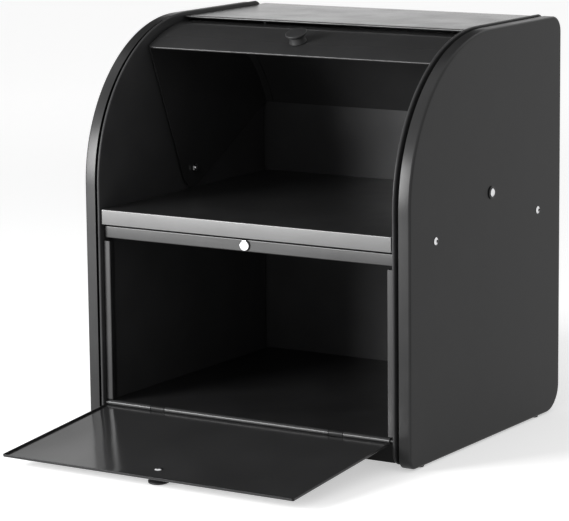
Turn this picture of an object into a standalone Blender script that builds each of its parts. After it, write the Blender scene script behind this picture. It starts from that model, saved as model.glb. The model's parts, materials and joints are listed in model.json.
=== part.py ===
"""Bread bin: two sheet-metal sides, a roll-top upper door and a fall-front lower door.

Metres, +Z up, the front towards -Y. The bin's own frame has its origin under the middle of the
side caps, at their bottom edge; one empty carries that frame, so that the world's origin lies
under the middle of the whole thing on the table. Lower door down and upper door up is the rest.
"""

from math import acos, asin, atan2, cos, hypot, pi, radians, sin

import bmesh
import bpy
from mathutils import Matrix

# Overall size of the pair of side caps
WIDTH = 0.322
DEPTH = 0.266
HEIGHT = 0.350
PIVOT_BEHIND_MIDDLE = 0.0055

# Sheet metal and gaps
SHEET = 0.0008
BEND = 0.0012
FIT = 0.0003
RUN = 0.0004
OVERRUN = 0.002
BEND_STEPS = 2
NOSE_STEPS = 6
ROUND_STEPS = 16
HIDDEN_STEPS = 12
KNOB_STEPS = 24
SHARP_DEG = 50
MERGE = 0.000001

# Side caps: a tray whose rim turns inwards
CAP_EDGE = 0.0018
CAP_TOE = 0.010
CAP_CROWN = 0.014
CAP_HEEL = 0.023
ROLL_STEPS = 24
CORNER_STEPS = 4

# Inner sides: a wall with a proud bead round its edge, and a groove between bead and cap
CAP_STANDOFF = 0.016
BEAD_WIDTH = 0.0036
BEAD_PROUD = 0.0015
BEAD_EDGE = 0.0014
GROOVE = 0.0018
GROOVE_DEPTH = 0.005
SIDE_TUCK = 0.0065
SIDE_BACK_INSET = 0.0065
SIDE_BOTTOM = 0.004
SIDE_CORNER = 0.010

# Top panel
TOP_DROP = 0.0015
TOP_BEFORE_PIVOT = 0.007
TOP_HEM = 0.002
TOP_HEM_REACH = 0.008
TOP_SIDE_TURN = 0.007
TOP_BACK_TURN = 0.012

# Back panel
BACK_RECESS = 0.0006
BACK_TUCK = 0.009
BACK_TOP_DROP = 0.005
VENT_RADIUS = 0.003
VENT_COUNT = 7
VENT_PITCH = 0.020
VENT_DROP = 0.045

# Shelf between the two compartments
SHELF_UNDER_PIVOT = 0.0184
SHELF_LIP = 0.013
SHELF_SCREW_INSET = 0.043
SHELF_SCREW_DROP = 0.0086

# Rail under the shelf's lip, which the lower door closes against
RAIL_SHOW = 0.0122
RAIL_FLANGE = 0.010
MAGNET_RISE = 0.0054
MAGNET_RADIUS = 0.0043
MAGNET_FACE = 0.0004
MAGNET_STEM = 0.0025
MAGNET_STEM_LENGTH = 0.0030
CUP_WALL = 0.0006
CUP_FLOOR = 0.0004

# Jambs beside the lower opening
JAMB_WIDTH = 0.0057
JAMB_RETURN = 0.004
JAMB_WEB = 0.015

# Floor, its apron and the hinge tabs
FLOOR_TOP = 0.024
FLOOR_SIDE_TURN = 0.010
APRON_BOTTOM = 0.004
HINGE_DROP = 0.001
ROD_RADIUS = 0.0014
TAB_INSET = 0.0529
TAB_WIDTH = 0.0135
TAB_FRONT_DEG = 235
TAB_TOP_DROP = 0.0005
TAB_BOTTOM_DROP = 0.0013

# Lower door, drawn lying flat in front of its hinge
DOOR_SIDE_GAP = 0.0026
DOOR_OVERLAP = 0.0076
TRAY_DEPTH = 0.0024
TURN_START = 0.007
NOTCH_REACH = 0.0045
NOTCH_SIDE = 0.0005
CURL_END_DEG = 560
CURL_STEPS = 18
LOWER_KNOB_INSET = 0.0219

# Upper door, a part of a drum about the pivot; angles rise from straight ahead over the top
DRUM_INSET = 0.006
DRUM_FRONT_DEG = 60
DRUM_STEPS = 38
ARM_STEPS = 20
HEM_THICK = 0.002
HEM_REACH_DEG = 3.5
HEM_SIDE = 0.0014
UPPER_KNOB_DEG = 69
ARM_TURN = 0.008
ARM_EDGE_DEG = 0.4
ARM_OVER_SHELF = 0.0014

# Knobs
KNOB_HEIGHT = 0.0095
KNOB_RADIUS = 0.0093
KNOB_NECK = 0.0068
KNOB_BASE = 0.0076
KNOB_RIM = 0.0024
KNOB_DOME = 0.0004
KNOB_FLARE = 0.0018
KNOB_BORE_DEPTH = 0.0065

# Screws, sleeves, nuts and washers
SHANK = 0.0019
SHELF_HEAD = 0.00325
SHELF_HEAD_RISE = 0.0012
PIVOT_HEAD = 0.0035
PIVOT_HEAD_RISE = 0.0014
HEAD_STEPS = 3
PIVOT_WASHER = 0.0055
PIVOT_WASHER_THICK = 0.0007
SLEEVE_RADIUS = 0.004
BUSH_RADIUS = 0.007
NUT_RADIUS = 0.0040
NUT_THICK = 0.0024
SHANK_END = 0.0008
CHAMFER = 0.0003

# Foot pads under the caps
PAD_RADIUS = 0.0044
PAD_THICK = 0.0012
PAD_FRONT_INSET = 0.025
PAD_BACK_INSET = 0.038

# Worked out from the sizes above
FRONT_Y = -DEPTH / 2
BACK_Y = DEPTH / 2
PIVOT_Y = PIVOT_BEHIND_MIDDLE
ROLL_RADIUS = PIVOT_Y - FRONT_Y
PIVOT_Z = HEIGHT - ROLL_RADIUS
TOP_FRONT_Y = PIVOT_Y - TOP_BEFORE_PIVOT
SHELF_TOP = PIVOT_Z - SHELF_UNDER_PIVOT
SHELF_SCREW_Z = SHELF_TOP - SHELF_SCREW_DROP
SHELF_SCREW_Y = BACK_Y - SHELF_SCREW_INSET
RAIL_BOTTOM = SHELF_TOP - SHELF_LIP - RAIL_SHOW
MAGNET_Z = RAIL_BOTTOM + MAGNET_RISE
HINGE_Z = FLOOR_TOP - HINGE_DROP
BACK_BOTTOM = FLOOR_TOP - BACK_TUCK
DOOR_LENGTH = RAIL_BOTTOM + DOOR_OVERLAP - HINGE_Z
LOWER_KNOB_REACH = DOOR_LENGTH - LOWER_KNOB_INSET
HALF = WIDTH / 2
BODY_HALF = HALF - CAP_STANDOFF
DOOR_HALF = BODY_HALF - DOOR_SIDE_GAP
RIM_X = BODY_HALF + BEAD_WIDTH + GROOVE
WALL_OUT_X = BODY_HALF + SHEET
INSIDE_HALF = BODY_HALF - FIT
JAMB_INNER_X = INSIDE_HALF - JAMB_WIDTH
SIDE_BACK = BACK_Y - SIDE_BACK_INSET
TAB_X = DOOR_HALF - TAB_INSET
PAD_PLACES = (("front", FRONT_Y + PAD_FRONT_INSET), ("rear", BACK_Y - PAD_BACK_INSET))
SHELF_SCREWS = (("front", -SHELF_SCREW_Y), ("rear", SHELF_SCREW_Y))
CURL_OUTER = ROD_RADIUS + FIT + SHEET
HINGE_Y = FRONT_Y + CURL_OUTER
MAGNET_PROUD = FIT + CUP_FLOOR + FIT + MAGNET_FACE
JAMB_FACE_Y = FRONT_Y + TRAY_DEPTH + RUN
STOP_FACE_Y = JAMB_FACE_Y + MAGNET_PROUD
APRON_Y = HINGE_Y + CURL_OUTER + RUN
BACK_OUT_Y = BACK_Y - BACK_RECESS - SHEET - FIT
REAR_INSIDE_Y = BACK_OUT_Y - SHEET - FIT
DRUM_RADIUS = ROLL_RADIUS - DRUM_INSET
BOSS_RADIUS = SHELF_UNDER_PIVOT - ARM_OVER_SHELF
DRUM_BACK_DEG = 180 - acos((REAR_INSIDE_Y - RUN - PIVOT_Y) / DRUM_RADIUS) * 180 / pi
BORE = SHANK + FIT
LIFT = PAD_THICK + FIT
HEM_NOSE = HEM_THICK / 2
CLOSED_BELOW = asin((PIVOT_Z - SHELF_TOP - RUN) / DRUM_RADIUS)
UPPER_TRAVEL = radians(DRUM_FRONT_DEG) + CLOSED_BELOW
KNOB_PROFILE = (
    (0, KNOB_BORE_DEPTH),
    (BORE, KNOB_BORE_DEPTH),
    (BORE, 0),
    (KNOB_BASE - CHAMFER, 0),
    (KNOB_BASE, CHAMFER),
    (KNOB_NECK, (KNOB_HEIGHT - KNOB_RIM - KNOB_FLARE) / 2),
    (KNOB_NECK, KNOB_HEIGHT - KNOB_RIM - KNOB_FLARE),
    (KNOB_RADIUS - CHAMFER, KNOB_HEIGHT - KNOB_RIM),
    (KNOB_RADIUS, KNOB_HEIGHT - KNOB_RIM + CHAMFER),
    (KNOB_RADIUS, KNOB_HEIGHT - KNOB_DOME - KNOB_DOME),
    (KNOB_RADIUS - KNOB_DOME, KNOB_HEIGHT - KNOB_DOME),
    (0, KNOB_HEIGHT),
)


def droop_at(radius, height):
    """Angle at which this point of the lower knob comes down to just above the table."""
    out, down = LOWER_KNOB_REACH + radius, CURL_OUTER + FIT + height
    return asin((HINGE_Z + LIFT - FIT) / hypot(out, down)) - atan2(down, out)


DROOP = min(droop_at(radius, height) for radius, height in KNOB_PROFILE)
LOWER_TRAVEL = pi / 2 + DROOP
DOOR_TIP_Y = HINGE_Y - DOOR_LENGTH * cos(DROOP)
SHIFT_Y = -(DOOR_TIP_Y + BACK_Y) / 2


# Materials
def material(name, colour, roughness, metallic):
    """A plain Principled material with these three settings."""
    made = bpy.data.materials.new(name)
    made.use_nodes = True
    made.diffuse_color = (*colour, 1)
    shader = made.node_tree.nodes["Principled BSDF"]
    shader.inputs["Base Color"].default_value = (*colour, 1)
    shader.inputs["Roughness"].default_value = roughness
    shader.inputs["Metallic"].default_value = metallic
    return made


COLOURS = {
    "black_coat": ((0.022, 0.022, 0.023), 0.34, 0),
    "black_gloss": ((0.018, 0.018, 0.019), 0.16, 0),
    "bright_steel": ((0.72, 0.72, 0.73), 0.25, 1),
    "magnet_nickel": ((0.80, 0.80, 0.81), 0.18, 1),
    "black_plastic": ((0.020, 0.020, 0.021), 0.45, 0),
    "black_rubber": ((0.012, 0.012, 0.012), 0.80, 0),
}


# Building helpers
def arc(centre, radius, start_deg, end_deg, steps):
    """Points of an arc in a plane, from one angle to the other with both ends."""
    turns = (radians(start_deg + (end_deg - start_deg) * i / steps) for i in range(steps + 1))
    return [(centre[0] + radius * cos(t), centre[1] + radius * sin(t)) for t in turns]


def on_drum(radius, degrees_up):
    """Point (y, z) at this radius about the pivot, the angle rising from straight ahead."""
    turn = radians(degrees_up)
    return -radius * cos(turn), radius * sin(turn)


def add(name, shape, coat, parent, place=None):
    """Makes an object of this bmesh, with its own material, under this parent."""
    mesh = bpy.data.meshes.new(name)
    shape.to_mesh(mesh)
    shape.free()
    mesh.shade_smooth()
    mesh.set_sharp_from_angle(angle=radians(SHARP_DEG))
    obj = bpy.data.objects.new(name, mesh)
    bpy.context.scene.collection.objects.link(obj)
    obj.data.materials.append(material(name, *COLOURS[coat]))
    obj.parent = parent
    obj.matrix_local = place or Matrix.Identity(4)
    return obj


def thicken(obj):
    """Gives an open surface the sheet's thickness, behind its outer face."""
    modifier = obj.modifiers.new("thickness", "SOLIDIFY")
    modifier.thickness = SHEET
    modifier.offset = -1
    modifier.use_even_offset = True
    modifier.use_quality_normals = True
    return obj


def combine(obj, tool, operation):
    """Cuts the tool from this object or joins it on, and hides the tool."""
    modifier = obj.modifiers.new(tool.name, "BOOLEAN")
    modifier.operation = operation
    modifier.solver = "EXACT"
    modifier.object = tool
    tool.hide_render = True
    tool.display_type = "WIRE"
    return obj


def chain(shape, points, closed=False):
    """Adds edges from point to point; closed joins the last point to the first."""
    verts = [shape.verts.new(point) for point in points]
    ends = verts[1:] + verts[:1] if closed else verts[1:]
    return [shape.edges.new(pair) for pair in zip(verts, ends)]


def filled(points):
    """One flat face; seen from its front its points run anticlockwise."""
    shape = bmesh.new()
    shape.faces.new([shape.verts.new(point) for point in points])
    return shape


def drawn_out(shape, line):
    """Extrudes a line of edges and returns the new edges, vertices and faces."""
    made = bmesh.ops.extrude_edge_only(shape, edges=line)["geom"]
    kinds = (bmesh.types.BMEdge, bmesh.types.BMVert, bmesh.types.BMFace)
    return [[item for item in made if isinstance(item, kind)] for kind in kinds]


def lathe(profile, steps=ROUND_STEPS):
    """Outline of (radius, height) turned round Z; it is closed, or starts and ends on the axis."""
    shape = bmesh.new()
    line = chain(shape, [(radius, 0, height) for radius, height in profile], closed=profile[0][0] > 0)
    geom = shape.verts[:] + line
    bmesh.ops.spin(
        shape, geom=geom, axis=(0, 0, 1), cent=(0, 0, 0), angle=2 * pi, steps=steps, use_merge=True
    )
    bmesh.ops.remove_doubles(shape, verts=shape.verts, dist=MERGE)
    bmesh.ops.recalc_face_normals(shape, faces=shape.faces)
    return shape


def along_x(x, y, z, towards):
    """Places a turned piece at this point, its axis along +X or -X."""
    return Matrix.Translation((x, y, z)) @ Matrix.Rotation(towards * pi / 2, 4, "Y")


def rod_shape(radius, length, steps=ROUND_STEPS, chamfer=0):
    """Plain round bar from height 0 to its length."""
    if not chamfer:
        return lathe([(0, 0), (radius, 0), (radius, length), (0, length)], steps)
    return lathe(
        [
            (0, 0),
            (radius - chamfer, 0),
            (radius, chamfer),
            (radius, length - chamfer),
            (radius - chamfer, length),
            (0, length),
        ],
        steps,
    )


def tube_shape(inner, outer, length, steps=ROUND_STEPS):
    """Sleeve with lightly chamfered outer edges, from height 0 to its length."""
    return lathe(
        [
            (inner, 0),
            (outer - CHAMFER, 0),
            (outer, CHAMFER),
            (outer, length - CHAMFER),
            (outer - CHAMFER, length),
            (inner, length),
        ],
        steps,
    )


def screw_shape(head, rise, length):
    """Domed head above height 0 and a shank below it."""
    bulge = (head * head + rise * rise) / (2 * rise)
    edge_deg = asin(head / bulge) * 180 / pi
    dome = arc((0, rise - bulge), bulge, 90 - edge_deg, 90, HEAD_STEPS)[:-1]
    below = [(0, -length), (SHANK - CHAMFER, -length), (SHANK, -length + CHAMFER), (SHANK, 0)]
    return lathe(below + dome + [(0, rise)])


def drill(obj, name, place, radius, length):
    """Bores a round hole, the drill starting at this place and running along its own Z."""
    tool = add(name, rod_shape(radius, length), "bright_steel", obj.parent, place)
    return combine(obj, tool, "DIFFERENCE")


def flip(shape):
    """The same surface facing the other way."""
    bmesh.ops.reverse_faces(shape, faces=shape.faces)
    return shape


def folded(across, along, keep=None):
    """Sheet drawn out row by row: across is a list of (x, rise), along one of (y, z).

    keep(row, x) tells, from a cell's row number and middle x, whether the cell is there.
    """
    shape = bmesh.new()
    line = chain(shape, [(x, along[0][0], along[0][1] + rise) for x, rise in across])
    dropped = []
    for row, (start, end) in enumerate(zip(along, along[1:])):
        line, verts, faces = drawn_out(shape, line)
        bmesh.ops.translate(shape, verts=verts, vec=(0, end[0] - start[0], end[1] - start[1]))
        dropped += [face for face in faces if keep and not keep(row, face.calc_center_median().x)]
    bmesh.ops.delete(shape, geom=dropped, context="FACES")
    return flip(shape)


def turned_down(half, depth, side):
    """Stations across a sheet whose sides are turned by this depth, towards side times Z."""
    bend = arc((half - BEND, 0), BEND, 90, 0, BEND_STEPS)
    right = [(x, side * (BEND - z)) for x, z in bend] + [(half, side * depth)]
    return [(-x, rise) for x, rise in reversed(right)] + right


def side_outline(back, bottom, toe, crown, heel, inset):
    """Outline (y, z) of a side: straight front, quarter roll, flat top and rounded corners."""
    top = HEIGHT
    points = arc((FRONT_Y + toe, bottom + toe), toe - inset, 270, 180, CORNER_STEPS)
    points += arc((PIVOT_Y, PIVOT_Z), ROLL_RADIUS - inset, 180, 90, ROLL_STEPS)
    points += arc((back - crown, top - crown), crown - inset, 90, 0, CORNER_STEPS)
    points += arc((back - heel, bottom + heel), heel - inset, 0, -90, CORNER_STEPS)
    return points


def ringed(stations, outline, side):
    """Tray drawn out ring by ring, the first ring filled; side is -1 or 1.

    A station is (x, inset), and outline(inset) gives its points (y, z), always in one order.
    """
    first_x = side * stations[0][0]
    outwards = stations[0][0] > stations[-1][0]
    shape = filled([(first_x, y, z) for y, z in outline(stations[0][1])])
    line = shape.edges[:]
    for x, inset in stations[1:]:
        line, verts, _ = drawn_out(shape, line)
        for vert, (y, z) in zip(verts, outline(inset)):
            vert.co = (side * x, y, z)
    bmesh.ops.recalc_face_normals(shape, faces=shape.faces)
    shape.faces.ensure_lookup_table()
    faces_right = shape.faces[0].normal.x > 0
    return shape if faces_right == (outwards == (side > 0)) else flip(shape)


# Fixed pieces
def cap_outline(inset):
    return side_outline(BACK_Y, 0, CAP_TOE, CAP_CROWN, CAP_HEEL, inset)


def inner_outline(inset):
    return side_outline(SIDE_BACK, SIDE_BOTTOM, SIDE_CORNER, SIDE_CORNER, SIDE_CORNER, inset)


def side_holes(obj, name, side, start_x):
    """The pivot's hole and the two shelf screws' holes through an upright side sheet."""
    length = SHEET + 2 * OVERRUN
    places = {"pivot": (PIVOT_Y, PIVOT_Z)}
    places["front"] = (-SHELF_SCREW_Y, SHELF_SCREW_Z)
    places["rear"] = (SHELF_SCREW_Y, SHELF_SCREW_Z)
    for which, (y, z) in places.items():
        place = along_x(side * (start_x - OVERRUN), y, z, side)
        drill(obj, f"drill_{name}_{which}", place, BORE, length)


def build_side(bin_frame, name, side):
    """One side: the cap, the wall with its bead, and what the three screws hold."""
    edge = arc((HALF - CAP_EDGE, CAP_EDGE), CAP_EDGE, 0, -90, BEND_STEPS)
    stations = [(HALF, CAP_EDGE + CAP_EDGE)] + edge + [(RIM_X, 0)]
    cap = thicken(add(f"{name}_side_cap", ringed(stations, cap_outline, side), "black_coat", bin_frame))
    side_holes(cap, f"{name}_cap", side, HALF - SHEET)

    bead_out = BODY_HALF + BEAD_WIDTH
    tuck_end = bead_out + SIDE_TUCK
    stations = [(BODY_HALF, GROOVE_DEPTH)]
    stations += arc((BODY_HALF + BEAD_EDGE, BEAD_EDGE - BEAD_PROUD), BEAD_EDGE, 180, 270, BEND_STEPS)
    stations += arc((bead_out - BEND, BEND - BEAD_PROUD), BEND, 270, 360, BEND_STEPS)
    stations += [(bead_out, GROOVE_DEPTH), (tuck_end, GROOVE_DEPTH)]
    tray = ringed(stations, inner_outline, side)
    wall = thicken(add(f"{name}_inner_side", tray, "black_coat", bin_frame))
    side_holes(wall, f"{name}_wall", side, BODY_HALF)

    sleeve_length = HALF - SHEET - WALL_OUT_X - 2 * FIT
    for which, y, z in (
        ("pivot", PIVOT_Y, PIVOT_Z),
        ("front_shelf", -SHELF_SCREW_Y, SHELF_SCREW_Z),
        ("rear_shelf", SHELF_SCREW_Y, SHELF_SCREW_Z),
    ):
        place = along_x(side * (WALL_OUT_X + FIT), y, z, side)
        sleeve = tube_shape(BORE, SLEEVE_RADIUS, sleeve_length, HIDDEN_STEPS)
        add(f"{name}_{which}_sleeve", sleeve, "bright_steel", bin_frame, place)

    for which, y in SHELF_SCREWS:
        under_head = HALF + FIT
        nut_face = INSIDE_HALF - SHEET - FIT
        shank_end = nut_face - NUT_THICK - SHANK_END
        screw = screw_shape(SHELF_HEAD, SHELF_HEAD_RISE, under_head - shank_end)
        place = along_x(side * under_head, y, SHELF_SCREW_Z, side)
        add(f"{name}_{which}_shelf_screw", screw, "bright_steel", bin_frame, place)
        add_nut(f"{name}_{which}_shelf_nut", bin_frame, side, nut_face, y, SHELF_SCREW_Z)
    build_pivot(bin_frame, name, side)
    for which, y in PAD_PLACES:
        middle = (RIM_X + HALF - CAP_EDGE) / 2
        place = Matrix.Translation((side * middle, y, -LIFT))
        pad = rod_shape(PAD_RADIUS, PAD_THICK, HIDDEN_STEPS, CHAMFER)
        add(f"{name}_{which}_foot_pad", pad, "black_rubber", bin_frame, place)


def add_nut(name, bin_frame, side, face_x, y, z):
    """Hexagon nut whose outer face is at this x, bored for the shank."""
    body = lathe(
        [
            (0, 0),
            (NUT_RADIUS - CHAMFER, 0),
            (NUT_RADIUS, CHAMFER),
            (NUT_RADIUS, NUT_THICK - CHAMFER),
            (NUT_RADIUS - CHAMFER, NUT_THICK),
            (0, NUT_THICK),
        ],
        steps=6,
    )
    nut = add(name, body, "bright_steel", bin_frame, along_x(side * face_x, y, z, -side))
    start = along_x(side * (face_x + OVERRUN), y, z, -side)
    return drill(nut, f"drill_{name}", start, BORE, NUT_THICK + 2 * OVERRUN)


def build_pivot(bin_frame, name, side):
    """Screw, washer, bush and nut on which one arm of the upper door turns."""
    washer_x = HALF + FIT
    washer = tube_shape(BORE, PIVOT_WASHER, PIVOT_WASHER_THICK)
    place = along_x(side * washer_x, PIVOT_Y, PIVOT_Z, side)
    add(f"{name}_pivot_washer", washer, "black_plastic", bin_frame, place)

    bush = tube_shape(BORE, BUSH_RADIUS, BODY_HALF - DOOR_HALF - 2 * FIT, HIDDEN_STEPS)
    place = along_x(side * (DOOR_HALF + FIT), PIVOT_Y, PIVOT_Z, side)
    add(f"{name}_pivot_bush", bush, "black_plastic", bin_frame, place)

    nut_face = DOOR_HALF - SHEET - FIT
    add_nut(f"{name}_pivot_nut", bin_frame, side, nut_face, PIVOT_Y, PIVOT_Z)
    under_head = washer_x + PIVOT_WASHER_THICK + FIT
    length = under_head - nut_face + NUT_THICK + SHANK_END
    screw = screw_shape(PIVOT_HEAD, PIVOT_HEAD_RISE, length)
    place = along_x(side * under_head, PIVOT_Y, PIVOT_Z, side)
    add(f"{name}_pivot_screw", screw, "bright_steel", bin_frame, place)


def build_top(bin_frame):
    """Flat top with a rolled hem over the upper door and turned-down sides and back."""
    top = HEIGHT - TOP_DROP
    nose = TOP_HEM / 2
    rear = BACK_Y - BACK_RECESS
    bend = arc((rear - BEND, top - BEND), BEND, 90, 0, BEND_STEPS)
    along = [(TOP_FRONT_Y + TOP_HEM_REACH, top - TOP_HEM)]
    along += arc((TOP_FRONT_Y + nose, top - nose), nose, 270, 90, NOSE_STEPS)
    turn_start = len(along)
    along += [(TOP_FRONT_Y + TOP_HEM_REACH + nose, top), (REAR_INSIDE_Y, top)]
    along += bend + [(rear, top - TOP_BACK_TURN)]
    across = turned_down(INSIDE_HALF, TOP_SIDE_TURN, -1)

    def keep(row, x):
        return abs(x) < INSIDE_HALF - BEND or row == turn_start

    return thicken(add("top_panel", folded(across, along, keep), "black_coat", bin_frame))


def build_back(bin_frame):
    """Plain back sheet between the caps' rims, with a row of air holes near its top."""
    half = RIM_X - FIT
    top = HEIGHT - BACK_TOP_DROP
    corners = [(-half, BACK_BOTTOM), (half, BACK_BOTTOM), (half, top), (-half, top)]
    sheet = filled([(x, BACK_OUT_Y, z) for x, z in reversed(corners)])
    back = thicken(add("back_panel", sheet, "black_coat", bin_frame))
    vent_z = top - VENT_DROP
    for i in range(VENT_COUNT):
        x = (i - (VENT_COUNT - 1) / 2) * VENT_PITCH
        start = Matrix.Translation((x, BACK_OUT_Y + OVERRUN, vent_z)) @ Matrix.Rotation(pi / 2, 4, "X")
        drill(back, f"drill_vent_{i}", start, VENT_RADIUS, SHEET + 2 * OVERRUN)
    return back


def build_shelf(bin_frame):
    """Shelf turned down on all four sides; its front turn is the lip."""
    rear = REAR_INSIDE_Y
    along = [(FRONT_Y, SHELF_TOP - SHELF_LIP)]
    along += arc((FRONT_Y + BEND, SHELF_TOP - BEND), BEND, 180, 90, BEND_STEPS)
    flat = len(along) - 1
    along += arc((rear - BEND, SHELF_TOP - BEND), BEND, 90, 0, BEND_STEPS)
    along += [(rear, SHELF_TOP - SHELF_LIP)]
    across = turned_down(INSIDE_HALF, SHELF_LIP, -1)

    def keep(row, x):
        return abs(x) < INSIDE_HALF - BEND or row == flat

    shelf = thicken(add("shelf", folded(across, along, keep), "black_coat", bin_frame))
    for side, name in ((-1, "left"), (1, "right")):
        for which, y in SHELF_SCREWS:
            start_x = INSIDE_HALF - SHEET - OVERRUN
            place = along_x(side * start_x, y, SHELF_SCREW_Z, side)
            drill(shelf, f"drill_shelf_{name}_{which}", place, BORE, SHEET + 2 * OVERRUN)
    return shelf


def build_rail(bin_frame):
    """Channel under the shelf's lip, with the magnet and its cup in the middle of its face."""
    half = INSIDE_HALF - SHEET - FIT
    top = SHELF_TOP - SHEET - FIT
    rear = STOP_FACE_Y + RAIL_FLANGE
    along = [(rear, RAIL_BOTTOM)]
    along += arc((STOP_FACE_Y + BEND, RAIL_BOTTOM + BEND), BEND, 270, 180, BEND_STEPS)
    along += arc((STOP_FACE_Y + BEND, top - BEND), BEND, 180, 90, BEND_STEPS)
    along += [(rear, top)]
    across = [(-half, 0), (half, 0)]
    rail = thicken(add("door_stop_rail", folded(across, along), "black_coat", bin_frame))
    forwards = Matrix.Rotation(pi / 2, 4, "X")
    plug = MAGNET_STEM + FIT + CUP_WALL
    place = Matrix.Translation((0, STOP_FACE_Y + SHEET + OVERRUN, MAGNET_Z)) @ forwards
    drill(rail, "drill_magnet", place, plug + FIT, SHEET + 2 * OVERRUN)

    seat = FIT + CUP_FLOOR
    rim = seat + MAGNET_FACE
    bore_end = seat - MAGNET_STEM_LENGTH - FIT
    recess = MAGNET_RADIUS + FIT
    head = recess + CUP_WALL
    cup = lathe(
        [
            (0, bore_end - CUP_FLOOR),
            (plug, bore_end - CUP_FLOOR),
            (plug, FIT),
            (head, FIT),
            (head, rim - CHAMFER),
            (head - CHAMFER, rim),
            (recess, rim),
            (recess, seat),
            (MAGNET_STEM + FIT, seat),
            (MAGNET_STEM + FIT, bore_end),
            (0, bore_end),
        ]
    )
    place = Matrix.Translation((0, STOP_FACE_Y, MAGNET_Z)) @ forwards
    add("magnet_cup", cup, "black_plastic", bin_frame, place)
    under_face = seat + FIT
    magnet = lathe(
        [
            (0, bore_end + FIT),
            (MAGNET_STEM, bore_end + FIT),
            (MAGNET_STEM, under_face),
            (MAGNET_RADIUS, under_face),
            (MAGNET_RADIUS, MAGNET_PROUD - CHAMFER / 2),
            (MAGNET_RADIUS - CHAMFER / 2, MAGNET_PROUD),
            (0, MAGNET_PROUD),
        ]
    )
    add("magnet", magnet, "magnet_nickel", bin_frame, place)


def build_jamb(bin_frame, name, side):
    """Upright channel beside the lower opening, from the hinge to the rail."""
    low = HINGE_Z + CURL_OUTER + RUN
    high = RAIL_BOTTOM - FIT
    path = [(JAMB_INNER_X, JAMB_FACE_Y + JAMB_RETURN)]
    path += arc((JAMB_INNER_X + BEND, JAMB_FACE_Y + BEND), BEND, 180, 270, BEND_STEPS)
    path += arc((INSIDE_HALF - BEND, JAMB_FACE_Y + BEND), BEND, 270, 360, BEND_STEPS)
    path += [(INSIDE_HALF, JAMB_FACE_Y + JAMB_WEB)]
    shape = bmesh.new()
    upper_verts = drawn_out(shape, chain(shape, [(side * x, y, low) for x, y in path]))[1]
    bmesh.ops.translate(shape, verts=upper_verts, vec=(0, 0, high - low))
    return thicken(add(f"{name}_jamb", flip(shape) if side > 0 else shape, "black_coat", bin_frame))


def build_floor(bin_frame):
    """Floor with an apron in front, turned-down sides and back, and two tabs round the rod."""
    rear = REAR_INSIDE_Y
    along = [(APRON_Y, APRON_BOTTOM)]
    along += arc((APRON_Y + BEND, FLOOR_TOP - BEND), BEND, 180, 90, BEND_STEPS)
    flat = len(along) - 1
    along += arc((rear - BEND, FLOOR_TOP - BEND), BEND, 90, 0, BEND_STEPS)
    along += [(rear, FLOOR_TOP - FLOOR_SIDE_TURN)]
    across = turned_down(INSIDE_HALF, FLOOR_SIDE_TURN, -1)

    def keep(row, x):
        return abs(x) < INSIDE_HALF - BEND or row == flat

    floor = thicken(add("floor_panel", folded(across, along, keep), "black_coat", bin_frame))
    inner = ROD_RADIUS + FIT
    start = -asin(TAB_TOP_DROP / CURL_OUTER)
    finish = -asin(TAB_BOTTOM_DROP / inner)
    reach = APRON_Y + SHEET / 2 - HINGE_Y
    profile = arc((0, 0), CURL_OUTER, start * 180 / pi, TAB_FRONT_DEG, CURL_STEPS)
    profile += arc((0, 0), inner, TAB_FRONT_DEG, finish * 180 / pi, CURL_STEPS)
    profile += [(reach, -TAB_BOTTOM_DROP), (reach, -TAB_TOP_DROP)]
    for side, name in ((-1, "left"), (1, "right")):
        start_x = side * TAB_X - TAB_WIDTH / 2
        shape = filled([(start_x, HINGE_Y + y, HINGE_Z + z) for y, z in profile])
        made = bmesh.ops.extrude_face_region(shape, geom=shape.faces[:])["geom"]
        far_verts = [item for item in made if isinstance(item, bmesh.types.BMVert)]
        bmesh.ops.translate(shape, verts=far_verts, vec=(TAB_WIDTH, 0, 0))
        bmesh.ops.recalc_face_normals(shape, faces=shape.faces)
        tab = add(f"{name}_hinge_tab_tool", shape, "black_coat", bin_frame)
        combine(floor, tab, "UNION")
    rod = rod_shape(ROD_RADIUS, 2 * INSIDE_HALF, chamfer=CHAMFER)
    add("hinge_rod", rod, "black_coat", bin_frame, along_x(-INSIDE_HALF, HINGE_Y, HINGE_Z, 1))


# Lower door
def build_lower_door(bin_frame):
    """Shallow tray curled round the hinge rod, with a knob outside its free edge."""
    hinge = empty("lower_door_hinge", bin_frame)
    hinge.location = (0, HINGE_Y, HINGE_Z)
    hinge.rotation_euler = (DROOP, 0, 0)
    across = turned_down(DOOR_HALF, TRAY_DEPTH, 1)
    notches = [side * TAB_X + end * (TAB_WIDTH / 2 + NOTCH_SIDE) for side in (-1, 1) for end in (-1, 1)]
    middle = len(across) // 2
    across = across[:middle] + [(x, 0) for x in notches] + across[middle:]

    curl = arc((0, 0), CURL_OUTER, CURL_END_DEG, 270, CURL_STEPS)
    base = -CURL_OUTER
    tip = -DOOR_LENGTH
    along = curl + [(-NOTCH_REACH, base), (-TURN_START, base)]
    notch_end = len(curl)
    turn_start = notch_end + 1
    along += arc((tip + BEND, base + BEND), BEND, 270, 180, BEND_STEPS)
    along += [(tip, base + TRAY_DEPTH)]

    def keep(row, x):
        if abs(x) > DOOR_HALF - BEND:
            return row == turn_start
        return row >= notch_end or abs(abs(x) - TAB_X) > TAB_WIDTH / 2 + NOTCH_SIDE

    door = thicken(add("lower_door", folded(across, along, keep), "black_gloss", hinge))
    outside = Matrix.Translation((0, -LOWER_KNOB_REACH, base)) @ Matrix.Rotation(pi, 4, "X")
    add_knob("lower_door", door, hinge, outside)


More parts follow.
